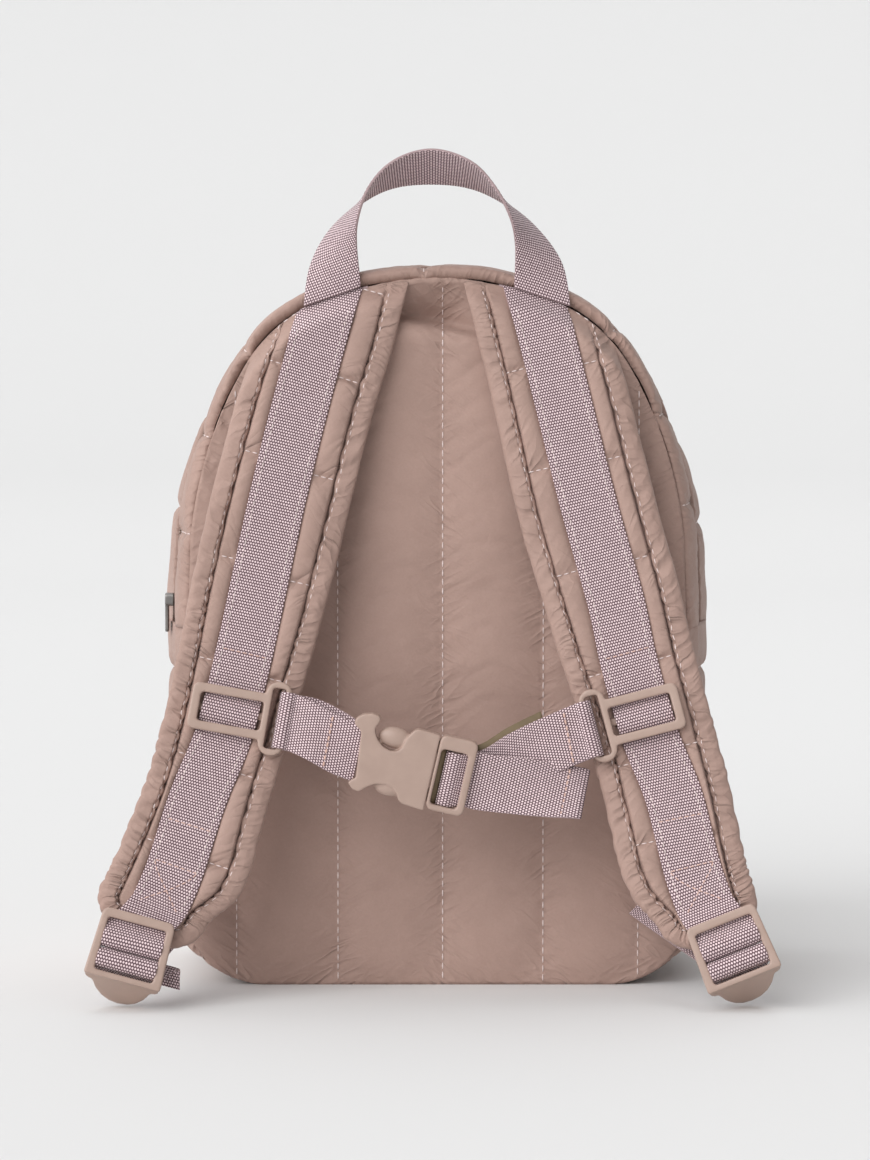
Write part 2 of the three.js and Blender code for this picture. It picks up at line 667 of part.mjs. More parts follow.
// Section of the pad: flat under the webbing, puffed between the webbing and the binding
function padSection(half, webbing, puff, share) {
  const front = PAD_FRONT * share;
  const back = -PAD_BACK * share;
  const high = front + PAD_PUFF * puff;
  const flat = WEBBING_WIDTH / 2 + PAD_FLAT_MARGIN;
  const right = Math.min(webbing + flat, half * PAD_FLAT_LIMIT);
  const left = Math.max(webbing - flat, -half * PAD_FLAT_LIMIT);
  return [
    [-half, back * PAD_EDGE_SHARE],
    [-half * PAD_BACK_FLAT, back],
    [half * PAD_BACK_FLAT, back],
    [half, back * PAD_EDGE_SHARE],
    [half, front * PAD_EDGE_SHARE],
    [(half + right) / 2, high],
    [right, front],
    [left, front],
    [(left - half) / 2, high],
    [-half, front * PAD_EDGE_SHARE],
  ].map(([x, y]) => new THREE.Vector2(x, y));
}

function strapPad(strap) {
  const rings = [];
  const sections = [];
  const addRing = (frame, half, puff, share, ahead) => {
    const section = padSection(half, frame.webbing, puff, share);
    sections.push(section);
    rings.push(section.map(({ x, y }) => strapPoint(frame, x, y, ahead)));
  };
  for (let i = 0; i <= STRAP_STEPS; i += 1) {
    const share = i / STRAP_STEPS;
    const frame = strap.frame(share);
    const puff = Math.sqrt(Math.abs(Math.sin((Math.PI * share * strap.length) / PAD_CHANNEL)));
    const fade = 1 - THREE.MathUtils.smoothstep(share, PAD_FADE, 1);
    addRing(frame, frame.width / 2 - BINDING_WIDTH - GAP, puff * fade, padThickness(share), 0);
  }
  const end = strap.frame(1);
  const endHalf = end.width / 2 - BINDING_WIDTH - 2 * GAP;
  const endLength = STRAP_END - BINDING_WIDTH - 2 * GAP;
  for (const angle of PAD_END_ANGLES) {
    const wide = endHalf * Math.cos(radians(angle));
    addRing(end, wide, 0, 1, endLength * Math.sin(radians(angle)));
  }
  const solid = solidOf(loft(rings, sections[0], sections[sections.length - 1]));
  return geometryOf(solid.subtract(aboveSeam));
}

// Binding: a soft tube round both edges and the lower end of the pad
function strapBinding(strap) {
  const halfWide = BINDING_WIDTH / 2;
  const halfThick = BINDING_THICKNESS / 2;
  const stations = [];
  const edge = (share, side) => {
    const frame = strap.frame(share);
    const centre = strapPoint(frame, side * (frame.width / 2 - halfWide), 0);
    const away = frame.across.clone().multiplyScalar(side);
    stations.push({ centre, away, out: frame.out, thick: padThickness(share) });
  };
  for (let i = 0; i <= STRAP_STEPS; i += 1) {
    edge(i / STRAP_STEPS, -1);
  }
  const end = strap.frame(1);
  for (let angle = BINDING_TURN; angle < 180; angle += BINDING_TURN) {
    const side = -Math.cos(radians(angle));
    const ahead = Math.sin(radians(angle));
    const centre = strapPoint(end, side * (end.width / 2 - halfWide), 0, ahead * (STRAP_END - halfWide));
    const away = end.across.clone().multiplyScalar(side).addScaledVector(end.along, ahead).normalize();
    stations.push({ centre, away, out: end.out, thick: 1 });
  }
  for (let i = STRAP_STEPS; i >= 0; i -= 1) {
    edge(i / STRAP_STEPS, 1);
  }
  const section = [];
  for (let i = 0; i < BINDING_SIDES; i += 1) {
    const angle = (2 * Math.PI * i) / BINDING_SIDES;
    section.push(new THREE.Vector2(halfWide * Math.cos(angle), halfThick * Math.sin(angle)));
  }
  const rings = stations.map(({ centre, away, out, thick }) => section.map(({ x, y }) => (
    centre.clone().addScaledVector(away, x).addScaledVector(out, y * thick)
  )));
  const solid = solidOf(loft(rings, section, section));
  return geometryOf(solid.subtract(aboveSeam));
}

// Directions of a fitting that lies on a strap: tilted in the strap's plane, leaning with the strap
function fittingBasis(tilt, lean) {
  const across = vec(Math.cos(radians(tilt)), 0, Math.sin(radians(tilt)));
  const out = vec(0, -Math.cos(radians(lean)), Math.sin(radians(lean)));
  out.addScaledVector(across, -out.dot(across)).normalize();
  const up = out.clone().cross(across).normalize();
  return { across, up, out };
}

function placeFitting(mesh, origin, { across, up, out }) {
  mesh.position.copy(origin);
  mesh.setRotationFromMatrix(new THREE.Matrix4().makeBasis(across, up, out));
}

function fittingPoint(origin, { across, up, out }, x, y, z) {
  return origin.clone().addScaledVector(across, x).addScaledVector(up, y).addScaledVector(out, z);
}

// Three-bar slider with a ring on one side, lying on z = 0 with its webbing passing under and over
function strapSlider(ringSide) {
  const { width, height, bar, thickness, passage, corner } = SLIDER;
  const halfWide = width / 2;
  const halfHigh = height / 2;
  const body = plate(roundedRectangle(-halfWide, halfWide, -halfHigh, halfHigh, corner), 0, thickness);
  const ringInner = halfWide - bar;
  const ringOuter = ringInner + RING.width;
  const sides = [ringSide * ringInner, ringSide * ringOuter].sort((a, b) => a - b);
  const ringHalf = RING.height / 2;
  const ringOutline = roundedRectangle(sides[0], sides[1], -ringHalf, ringHalf, RING.corner);
  const ring = plate(ringOutline, RING.low, thickness);
  const holeHalf = ringHalf - RING.bar;
  const holeSides = [sides[0] + RING.bar, sides[1] - RING.bar];
  const hole = roundedRectangle(holeSides[0], holeSides[1], -holeHalf, holeHalf, RING.holeCorner);
  const inside = halfWide - bar;
  const window = roundedRectangle(-inside, inside, -halfHigh + bar, halfHigh - bar, SLIDER.holeCorner);
  const below = block(vec(-inside, -halfHigh - 1, -1), vec(inside, halfHigh + 1, passage));
  const barHalf = SLIDER_BAR.width / 2;
  const barEnd = inside + SLIDER_BAR.root;
  const barUnder = block(vec(-barEnd, -barHalf, SLIDER_BAR.low), vec(barEnd, barHalf, SLIDER_BAR.high));
  const solid = body.add(ring)
    .subtract(plate(hole, -1, thickness + 1, 2))
    .subtract(plate(window, -1, thickness + 1, 2))
    .subtract(below)
    .add(barUnder);
  return geometryOf(solid);
}

// Ladder lock: frame with two cross bars and a thumb lip, its top edge at y = 0
function ladderLock() {
  const { top, bottom, height, side, topBar, thickness, passage } = LOCK;
  const { round, flare, foot } = LOCK_CORNER;
  const end = -height - LOCK_LIP.length;
  const halfTop = top / 2;
  const halfBottom = bottom / 2;
  const shoulder = halfBottom - LOCK_LIP.shoulder;
  const lipRound = halfBottom - LOCK_LIP.round;
  const outline = new THREE.Shape();
  outline.moveTo(-halfTop + round, 0);
  outline.lineTo(halfTop - round, 0);
  outline.quadraticCurveTo(halfTop, 0, halfTop + flare, -round);
  outline.lineTo(halfBottom, -height + foot);
  outline.quadraticCurveTo(halfBottom, -height - foot, shoulder, -height - foot);
  outline.quadraticCurveTo(lipRound, end, 0, end);
  outline.quadraticCurveTo(-lipRound, end, -shoulder, -height - foot);
  outline.quadraticCurveTo(-halfBottom, -height - foot, -halfBottom, -height + foot);
  outline.lineTo(-halfTop - flare, -round);
  outline.quadraticCurveTo(-halfTop, 0, -halfTop + round, 0);
  const inside = halfTop - side;
  const window = roundedRectangle(-inside, inside, LOCK_WINDOW.end, -topBar, LOCK_WINDOW.corner);
  const under = block(vec(-inside, -topBar - 1, -1), vec(inside, 1, passage));
  const lipCut = block(vec(-bottom, end - 1, -1), vec(bottom, LOCK_WINDOW.end - 1, LOCK_LIP.under));
  let solid = plate(outline, 0, thickness, 4)
    .subtract(plate(window, -1, thickness + 1, 2))
    .subtract(under)
    .subtract(lipCut);
  for (const y of LOCK_BARS) {
    const low = vec(-inside - LOCK_BAR.root, y - LOCK_BAR.width / 2, LOCK_BAR.lift);
    const high = vec(inside + LOCK_BAR.root, y + LOCK_BAR.width / 2, LOCK_BAR.lift + LOCK_BAR.height);
    solid = solid.add(block(low, high));
  }
  return geometryOf(solid);
}

// Points of a turn of webbing round a bar, as pairs of place along the fitting and height
function barTurn(along, barWidth, low, high, from, to) {
  const reach = barWidth / 2 + GAP + WEBBING_THICKNESS / 2 + TURN_CLEAR.along;
  const rise = (high - low) / 2 + GAP + WEBBING_THICKNESS / 2 + TURN_CLEAR.up;
  const steps = Math.ceil(Math.abs(to - from) / TURN_STEP);
  const points = [];
  for (let i = 0; i <= steps; i += 1) {
    const angle = radians(THREE.MathUtils.lerp(from, to, i / steps));
    points.push([along + reach * Math.cos(angle), (low + high) / 2 + rise * Math.sin(angle)]);
  }
  return points;
}

const onPad = PAD_FRONT + GAP + WEBBING_THICKNESS / 2;

function lockTurn(bar, from, to) {
  return barTurn(bar, LOCK_BAR.width, LOCK_BAR.lift, LOCK_BAR.lift + LOCK_BAR.height, from, to);
}

// Strap webbing: on the pad, over the slider's middle bar, then round the lock's first bar
function strapWebbing(strap, sliderShare, lockOrigin, lockBasis) {
  const centres = [];
  const acrosses = [];
  const halfBulge = (SLIDER.height / 2 - SLIDER.bar + BULGE_MARGIN) / strap.length;
  const bulge = PAD_PUFF + 2 * GAP + SLIDER_BAR.high;
  const shares = [];
  for (let i = 0; i <= WEBBING_STEPS; i += 1) {
    shares.push(i / WEBBING_STEPS);
  }
  for (const part of BULGE_PARTS) {
    shares.push(sliderShare + part * halfBulge);
  }
  shares.sort((a, b) => a - b);
  for (const share of shares.filter((value) => value < WEBBING_LEAVES)) {
    const frame = strap.frame(share);
    const near = THREE.MathUtils.clamp(Math.abs(share - sliderShare) / halfBulge, 0, 1);
    const rise = bulge * THREE.MathUtils.smoothstep(1 - near, 0, BULGE_SLOPE);
    centres.push(strapPoint(frame, frame.webbing, onPad + rise));
    acrosses.push(frame.across);
  }
  const underTop = LOCK.passage - 2 * GAP - WEBBING_THICKNESS / 2;
  const { ahead, from, to } = LOCK_WRAP;
  const wrap = [[ahead, underTop - GAP], [-LOCK.topBar, underTop], ...lockTurn(LOCK_BARS[0], from, to)];
  for (const [y, z] of wrap) {
    centres.push(fittingPoint(lockOrigin, lockBasis, 0, y, z));
    acrosses.push(lockBasis.across);
  }
  const solid = solidOf(ribbon(centredRows(centres, (i) => acrosses[i])));
  return geometryOf(solid.subtract(aboveSeam));
}

// Adjuster webbing: from the bag's bottom corner to the lock's second bar, then a loose tail
function lowerWebbing(sideSign, { x, z, spread }, lockOrigin, lockBasis) {
  const anchorAcross = vec(Math.cos(radians(spread)), 0, sideSign * Math.sin(radians(spread)));
  const seat = [-0.5, 0, 0.5].map((share) => quilting(
    sideSign * x + share * WEBBING_WIDTH * anchorAcross.x,
    z + share * WEBBING_WIDTH * anchorAcross.z,
  ));
  const start = vec(sideSign * x, -Math.max(...seat) - 2 * GAP, z);
  const turn = lockTurn(LOCK_BARS[1], ADJUSTER.from, ADJUSTER.to);
  const [firstY, firstZ] = turn[0];
  const behind = fittingPoint(lockOrigin, lockBasis, 0, firstY - ADJUSTER.behind, firstZ - ADJUSTER.below);
  const centres = [start];
  const acrosses = [anchorAcross];
  for (const share of ADJUSTER_SHARES) {
    centres.push(start.clone().lerp(behind, share));
    acrosses.push(anchorAcross.clone().lerp(lockBasis.across, share));
  }
  for (const [y, z] of turn) {
    centres.push(fittingPoint(lockOrigin, lockBasis, 0, y, z));
    acrosses.push(lockBasis.across);
  }
  const [lastY, lastZ] = turn[turn.length - 1];
  for (const { back, down } of ADJUSTER_FOLD) {
    centres.push(fittingPoint(lockOrigin, lockBasis, 0, lastY - back, lastZ - down));
    acrosses.push(lockBasis.across);
  }
  const fold = centres[centres.length - 1];
  for (const share of [0.5, 1]) {
    const lie = vec(-sideSign * TAIL.inward, TAIL.length, -TAIL.drop);
    centres.push(fold.clone().addScaledVector(lie, share));
    acrosses.push(lockBasis.across);
  }
  return ribbon(centredRows(centres, (i) => acrosses[i]));
}

const fittings = {};
for (const [name, sideSign] of [['left', -1], ['right', 1]]) {
  const strap = makeStrap(STRAPS[name]);
  addPiece(`strap_pad_${name}`, strapPad(strap), NYLON);
  addPiece(`strap_binding_${name}`, strapBinding(strap), NYLON);

  const sliderShare = strap.shareAt(SLIDERS[name].z);
  const sliderFrame = strap.frame(sliderShare);
  const sliderLean = THREE.MathUtils.radToDeg(Math.asin(sliderFrame.out.z));
  const sliderBasis = fittingBasis(SLIDERS[name].tilt, sliderLean);
  const sliderAside = sliderFrame.webbing + SLIDERS[name].aside;
  const sliderOrigin = strapPoint(sliderFrame, sliderAside, PAD_FRONT + PAD_PUFF + 2 * GAP);
  const slider = addPiece(`strap_slider_${name}`, strapSlider(SLIDERS[name].ring), PLASTIC);
  placeFitting(slider, sliderOrigin, sliderBasis);

  const { aside, ahead, tilt, lean } = LOCKS[name];
  const lockFrame = strap.frame(1);
  const lockBasis = fittingBasis(tilt, lean);
  const lockOrigin = strapPoint(lockFrame, lockFrame.webbing + aside, PAD_FRONT + LOCK_LIFT, ahead);
  const lock = addPiece(`ladder_lock_${name}`, ladderLock(), PLASTIC);
  placeFitting(lock, lockOrigin, lockBasis);

  addPiece(`strap_webbing_${name}`, strapWebbing(strap, sliderShare, lockOrigin, lockBasis), WEBBING);
  const adjuster = lowerWebbing(sideSign, ANCHORS[name], lockOrigin, lockBasis);
  addPiece(`lower_webbing_${name}`, adjuster, WEBBING);
  fittings[name] = { sliderOrigin, sliderBasis };
}

// Fastened buckle, in its own directions with x along the chest strap

function receiver() {
  const { left, right, waist, ear, neck, chamfer, wall } = RECEIVER;
  const { tip, deep, hold, web } = LATCH_ARM;
  const half = BUCKLE.height / 2;
  const earEnd = left + RECEIVER_STEPS.ear;
  const bend = left + RECEIVER_STEPS.bend;
  const waistMiddle = left + RECEIVER_STEPS.waist;
  const flare = left + RECEIVER_STEPS.flare;
  const neckStart = left + RECEIVER_STEPS.neck;
  const outline = new THREE.Shape();
  outline.moveTo(left, -ear);
  outline.lineTo(earEnd, -ear);
  outline.quadraticCurveTo(bend, -waist, waistMiddle, -waist);
  outline.quadraticCurveTo(flare, -waist, neckStart, -neck);
  outline.lineTo(right, -half + chamfer);
  outline.lineTo(right, half - chamfer);
  outline.lineTo(neckStart, neck);
  outline.quadraticCurveTo(flare, waist, waistMiddle, waist);
  outline.quadraticCurveTo(bend, waist, earEnd, ear);
  outline.lineTo(left, ear);
  outline.lineTo(left, -ear);
  const shell = plate(outline, -BUCKLE.thickness / 2, BUCKLE.thickness / 2, 4);
  const slot = block(vec(tip - 1, -half - 1, -deep), vec(right + 1, half + 1, deep));
  const walls = block(vec(left, -waist + wall, -web), vec(tip + hold, waist - wall, web));
  return geometryOf(shell.subtract(slot).add(walls));
}

function latch() {
  const { left, right, bar, window, neck, corner, holeCorner } = LATCH;
  const half = BUCKLE.height / 2;
  const deep = BUCKLE.thickness / 2;
  const inside = window / 2;
  const barEnd = inside + LATCH_BAR.root;
  const armDeep = LATCH_ARM.deep - GAP;
  const frame = plate(roundedRectangle(left, right, -half, half, corner), -deep, deep);
  const hole = roundedRectangle(left + neck, right - bar, -inside, inside, holeCorner);
  const passage = block(vec(right - bar - 1, -inside, -deep - 1), vec(right + 1, inside, LATCH_PASSAGE));
  const midBar = block(
    vec(LATCH_BAR.left, -barEnd, LATCH_BAR.low),
    vec(LATCH_BAR.right, barEnd, LATCH_BAR.high),
  );
  let solid = frame.subtract(plate(hole, -deep - 1, deep + 1, 2)).subtract(passage).add(midBar);
  for (const side of [-1, 1]) {
    const edges = [side * LATCH_ARM.near, side * LATCH_ARM.far].sort((a, b) => a - b);
    const arm = roundedRectangle(LATCH_ARM.tip, left + neck / 2, edges[0], edges[1], LATCH_ARM.corner);
    solid = solid.add(plate(arm, -armDeep, armDeep));
  }
  return geometryOf(solid);
}

const buckleBasis = fittingBasis(BUCKLE.tilt, 0);
const buckleOrigin = vec(BUCKLE.x, BUCKLE.y, BUCKLE.z);
for (const [name, geometry] of [['buckle_receiver', receiver()], ['buckle_latch', latch()]]) {
  placeFitting(addPiece(name, geometry, PLASTIC), buckleOrigin, buckleBasis);
}

// Chest strap: a folded end round each slider's ring; on the right a free tail past the latch

const ringMiddle = SLIDER.width / 2 - SLIDER.bar + RING.width - RING.bar / 2;

function ringTurn(name, ringSide) {
  const { sliderOrigin, sliderBasis } = fittings[name];
  const turn = barTurn(0, RING.bar, RING.low, SLIDER.thickness, RING_WRAP.from, RING_WRAP.to);
  return turn.map(([x, z]) => ({
    centre: fittingPoint(sliderOrigin, sliderBasis, ringSide * (ringMiddle + x), 0, z),
    across: sliderBasis.up,
  }));
}

// A row of chest webbing in the buckle's own directions
function chestRow(x, y, z, twist = 0) {
  const across = buckleBasis.up.clone().applyAxisAngle(buckleBasis.across, radians(twist));
  return { centre: fittingPoint(buckleOrigin, buckleBasis, x, y, z), across };
}

// Straight rows from one row towards another
function rowsTowards(from, to) {
  return CHEST_SHARES.map((share) => ({
    centre: from.centre.clone().lerp(to.centre, share),
    across: from.across.clone().lerp(to.across, share),
  }));
}

function chestRibbon(rows) {
  return ribbon(centredRows(rows.map((row) => row.centre), (i) => rows[i].across));
}

function chestLeft() {
  const end = RECEIVER.left - GAP;
  const turn = ringTurn('left', 1);
  const front = rowsTowards(chestRow(end, 0, CHEST_LAYER), turn[0]);
  const rear = rowsTowards(chestRow(end, 0, -CHEST_LAYER), turn[turn.length - 1]);
  return chestRibbon([...front, ...turn, ...rear.reverse()]);
}

function chestRight() {
  const past = LATCH.right + GAP;
  const { length, droop, lift, flat, rise, twist } = CHEST_TAIL;
  const tailLayer = LATCH_PASSAGE - GAP - WEBBING_THICKNESS / 2;
  const barMiddle = (LATCH_BAR.left + LATCH_BAR.right) / 2;
  const barWidth = LATCH_BAR.right - LATCH_BAR.left;
  const { from, to } = LATCH_WRAP;
  const turn = barTurn(barMiddle, barWidth, LATCH_BAR.low, LATCH_BAR.high, from, to);
  const under = turn[turn.length - 1][1];
  const tail = [
    chestRow(past + length, droop, tailLayer + lift, twist),
    chestRow(past + length / 2, droop / 2, tailLayer + lift, twist / 3),
    chestRow(past + flat, 0, tailLayer + rise),
    chestRow(past - LATCH.bar, 0, tailLayer),
  ];
  const wrap = turn.map(([x, z]) => chestRow(x, 0, z));
  const ring = ringTurn('right', -1);
  const strip = rowsTowards(chestRow(past, 0, under), ring[0]);
  const fold = rowsTowards(chestRow(past, 0, under - CHEST_FOLD), ring[ring.length - 1]).slice(1);
  return chestRibbon([...tail, ...wrap, ...strip, ...ring, ...fold.reverse()]);
}

addPiece('chest_strap_left', chestLeft(), WEBBING);
addPiece('chest_strap_right', chestRight(), WEBBING);

// The origin is the bottom centre of the whole backpack
const whole = new THREE.Box3().setFromObject(bag, true);
const middle = whole.getCenter(new THREE.Vector3());
bag.position.set(-middle.x, -middle.y, -whole.min.z);

const backpack = new THREE.Group();
backpack.add(bag);

export default backpack;
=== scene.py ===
import bisect
import bmesh
import bpy
import math
from mathutils import Matrix, Vector, kdtree, noise
from mathutils.bvhtree import BVHTree


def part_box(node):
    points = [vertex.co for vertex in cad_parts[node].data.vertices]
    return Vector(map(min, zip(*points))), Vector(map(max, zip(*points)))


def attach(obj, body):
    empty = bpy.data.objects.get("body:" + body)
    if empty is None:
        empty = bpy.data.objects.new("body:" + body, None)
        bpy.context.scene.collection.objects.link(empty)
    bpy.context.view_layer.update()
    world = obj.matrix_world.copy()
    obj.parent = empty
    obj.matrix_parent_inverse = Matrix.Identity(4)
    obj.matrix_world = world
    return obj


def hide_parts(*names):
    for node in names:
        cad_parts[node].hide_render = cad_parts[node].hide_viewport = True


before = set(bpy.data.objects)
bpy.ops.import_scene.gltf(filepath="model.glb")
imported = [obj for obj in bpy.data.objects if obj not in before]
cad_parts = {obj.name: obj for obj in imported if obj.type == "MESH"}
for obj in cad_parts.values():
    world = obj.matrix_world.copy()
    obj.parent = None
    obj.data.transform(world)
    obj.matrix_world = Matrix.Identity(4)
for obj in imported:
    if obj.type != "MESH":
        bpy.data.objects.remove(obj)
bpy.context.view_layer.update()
panelLow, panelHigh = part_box("back_panel")
bagOrigin = Vector(((panelLow.x + panelHigh.x) / 2, panelHigh.y, 0))  # middle of the back seam, on the floor
print("frame loaded,", len(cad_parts), "nodes")


# small helpers, all in bag millimetres until toFrame
def toFrame(point):
    return bagOrigin + point * 0.001


def mix(a, b, t):
    return a + (b - a) * t


def smooth(value, low, high):
    t = min(max((value - low) / (high - low), 0), 1)
    return t * t * (3 - 2 * t)


def readRows(rows, key, z):  # rows run upwards in z
    for low, high in zip(rows, rows[1:]):
        if z <= high["z"]:
            return mix(low[key], high[key], max((z - low["z"]) / (high["z"] - low["z"]), 0))
    return rows[-1][key]


def curvePoint(points, t):  # centripetal curve through the points
    place = (len(points) - 1) * min(max(t, 0), 1)
    i = min(int(place), len(points) - 2)
    w = place - i
    p1, p2 = points[i], points[i + 1]
    p0 = points[i - 1] if i > 0 else p1 * 2 - p2
    p3 = points[i + 2] if i + 2 < len(points) else p2 * 2 - p1
    d0, d1, d2 = (max(math.sqrt((b - a).length), 1e-4) for a, b in ((p0, p1), (p1, p2), (p2, p3)))
    t1 = ((p1 - p0) / d0 - (p2 - p0) / (d0 + d1) + (p2 - p1) / d1) * d1
    t2 = ((p2 - p1) / d1 - (p3 - p1) / (d1 + d2) + (p3 - p2) / d2) * d1
    return p1 + t1 * w + (p2 * 3 - p1 * 3 - t1 * 2 - t2) * w ** 2 + (p1 * 2 - p2 * 2 + t1 + t2) * w ** 3


def ripple(run, wavelength, seed):  # uneven wave along a seam, from -1 to 1
    drift = 2.4 * noise.noise(Vector((run * 0.045, seed, 0.3)))
    strength = 0.65 + 0.6 * noise.noise(Vector((run * 0.06, seed + 7.1, 1.7)))
    return strength * math.sin(2 * math.pi * run / wavelength + drift)


def crease(run, wavelength, seed):  # soft bulges parted by sharp valleys, roughly -1 to 0.5
    drift = 3.2 * noise.noise(Vector((run * 0.05, seed, 5.3)))
    strength = 0.75 + 0.7 * noise.noise(Vector((run * 0.085, seed + 3.7, 2.1)))
    return strength * 1.5 * (abs(math.sin(math.pi * run / wavelength + drift)) ** 0.6 - 0.68)


def runsAlong(points):  # length from the first point to each
    runs = [0]
    for a, b in zip(points, points[1:]):
        runs.append(runs[-1] + (b - a).length)
    return runs


def evenly(stops, step):  # values from the first stop to the last, with every stop among them
    values = [stops[0]]
    for low, high in zip(stops, stops[1:]):
        count = max(round(abs(high - low) / step), 1)
        values += [mix(low, high, k / count) for k in range(1, count + 1)]
    return values


# materials
def addNode(tree, kind, links=(), **values):
    node = tree.nodes.new(kind)
    for key, value in values.items():
        setattr(node, key, value)
    for socket, value in links:
        target = node.inputs[socket]
        if isinstance(value, bpy.types.NodeSocket):
            tree.links.new(value, target)
        else:
            target.default_value = value
    return node


def maths(tree, operation, *values):
    return addNode(tree, "ShaderNodeMath", list(enumerate(values)), operation=operation).outputs[0]


def ranged(tree, value, fromLow, fromHigh, toLow, toHigh):
    links = [(0, value), (1, fromLow), (2, fromHigh), (3, toLow), (4, toHigh)]
    return addNode(tree, "ShaderNodeMapRange", links).outputs[0]


def noiseNode(tree, vector, **values):
    links = [("Vector", vector), *((key.capitalize(), value) for key, value in values.items())]
    return addNode(tree, "ShaderNodeTexNoise", links).outputs[0]


def shaderGroup(name, inputs, outputs):
    group = bpy.data.node_groups.new(name, "ShaderNodeTree")
    for socket, kind in inputs:
        group.interface.new_socket(socket, in_out="INPUT", socket_type=kind)
    for socket, kind in outputs:
        group.interface.new_socket(socket, in_out="OUTPUT", socket_type=kind)
    return group, group.nodes.new("NodeGroupInput"), group.nodes.new("NodeGroupOutput")


def makeWeaveGroup():  # rows of bright yarn dots, every other row half a dot aside
    tree, given, put = shaderGroup(
        "webbingWeave",
        [("Cloth", "NodeSocketVector"), ("Pitch", "NodeSocketFloat"), ("Row", "NodeSocketFloat")],
        [("Dots", "NodeSocketFloat"), ("Height", "NodeSocketFloat")],
    )
    split = addNode(tree, "ShaderNodeSeparateXYZ", [(0, given.outputs["Cloth"])])
    x = maths(tree, "DIVIDE", split.outputs[0], given.outputs["Pitch"])
    y = maths(tree, "DIVIDE", split.outputs[1], given.outputs["Row"])
    row = maths(tree, "FLOOR", y)
    aside = maths(tree, "MULTIPLY", maths(tree, "FLOORED_MODULO", row, 2.0), 0.5)
    fx = maths(tree, "SUBTRACT", maths(tree, "FRACT", maths(tree, "ADD", x, aside)), 0.5)
    fy = maths(tree, "SUBTRACT", maths(tree, "FRACT", y), 0.5)
    wide = maths(tree, "POWER", maths(tree, "DIVIDE", fx, 0.46), 2.0)
    high = maths(tree, "POWER", maths(tree, "DIVIDE", fy, 0.48), 2.0)
    away = maths(tree, "SQRT", maths(tree, "ADD", wide, high))
    dots = addNode(
        tree, "ShaderNodeMapRange", [(0, away), (1, 1.05), (2, 0.45), (3, 0.0), (4, 1.0)],
        interpolation_type="SMOOTHSTEP",
    )
    tree.links.new(dots.outputs[0], put.inputs["Dots"])
    tree.links.new(maths(tree, "SQRT", dots.outputs[0]), put.inputs["Height"])
    return tree


def makeGrainGroup():  # fine plain weave, soft crinkles, and sharp creases where the cloth is drawn up
    tree, given, put = shaderGroup(
        "nylonGrain",
        [
            ("Cloth", "NodeSocketVector"), ("Object", "NodeSocketVector"),
            ("Pitch", "NodeSocketFloat"), ("Pucker", "NodeSocketFloat"),
        ],
        [
            ("Weave", "NodeSocketFloat"), ("Crinkle", "NodeSocketFloat"),
            ("Tone", "NodeSocketFloat"), ("Creases", "NodeSocketFloat"),
        ],
    )
    split = addNode(tree, "ShaderNodeSeparateXYZ", [(0, given.outputs["Cloth"])])
    turn = maths(tree, "DIVIDE", 2 * math.pi, given.outputs["Pitch"])
    warp = maths(tree, "SINE", maths(tree, "MULTIPLY", split.outputs[0], turn))
    weft = maths(tree, "SINE", maths(tree, "MULTIPLY", split.outputs[1], turn))
    place = given.outputs["Object"]
    slub = noiseNode(tree, place, scale=1000.0, detail=2.0)
    weave = maths(tree, "ADD", maths(tree, "MULTIPLY", warp, weft), slub)
    crinkle = noiseNode(tree, place, scale=95.0, detail=4.5, roughness=0.58, distortion=1.4)
    tone = noiseNode(tree, place, scale=22.0, detail=4.0, roughness=0.6)
    folds = []
    for lean in (-36, 28):
        turned = addNode(
            tree, "ShaderNodeMapping",
            [
                ("Vector", given.outputs["Cloth"]),
                ("Rotation", (0, 0, math.radians(lean))), ("Scale", (15, 4.2, 1)),
            ],
            vector_type="TEXTURE",
        )
        streak = noiseNode(tree, turned.outputs[0], scale=1.0, detail=0.7, distortion=0.4)
        ridge = maths(tree, "ABSOLUTE", maths(tree, "SUBTRACT", streak, 0.5))
        fold = maths(tree, "SUBTRACT", 1.0, maths(tree, "MULTIPLY", ridge, 2.0))
        folds.append(maths(tree, "POWER", fold, 2.6))
    chosen = ranged(tree, tone, 0.42, 0.58, 0, 1)
    first = maths(tree, "MULTIPLY", folds[0], chosen)
    second = maths(tree, "MULTIPLY", folds[1], maths(tree, "SUBTRACT", 1.0, chosen))
    creases = maths(tree, "MULTIPLY", maths(tree, "ADD", first, second), given.outputs["Pucker"])
    tree.links.new(creases, put.inputs["Creases"])
    tree.links.new(weave, put.inputs["Weave"])
    tree.links.new(crinkle, put.inputs["Crinkle"])
    flecked = maths(tree, "MULTIPLY_ADD", slub, 0.34, -0.17)
    tree.links.new(maths(tree, "ADD", tone, flecked), put.inputs["Tone"])
    return tree


weaveGroup = makeWeaveGroup()
grainGroup = makeGrainGroup()


def startMaterial(name):
    material = bpy.data.materials.new(name)
    material.use_nodes = True
    tree = material.node_tree
    return material, tree, tree.nodes["Principled BSDF"], tree.nodes.new("ShaderNodeTexCoord")


def blendColour(tree, factor, first, second):
    node = addNode(tree, "ShaderNodeMix", data_type="RGBA")
    tree.links.new(factor, node.inputs["Factor"])
    colours = [socket for socket in node.inputs if socket.type == "RGBA"]
    for socket, value in zip(colours, (first, second)):
        if isinstance(value, bpy.types.NodeSocket):
            tree.links.new(value, socket)
        else:
            socket.default_value = (*value, 1)
    return next(socket for socket in node.outputs if socket.type == "RGBA")


def bumped(tree, height, strength, distance, normal=None):
    links = [("Height", height), ("Strength", strength), ("Distance", distance)]
    if normal is not None:
        links.append(("Normal", normal))
    return addNode(tree, "ShaderNodeBump", links).outputs[0]


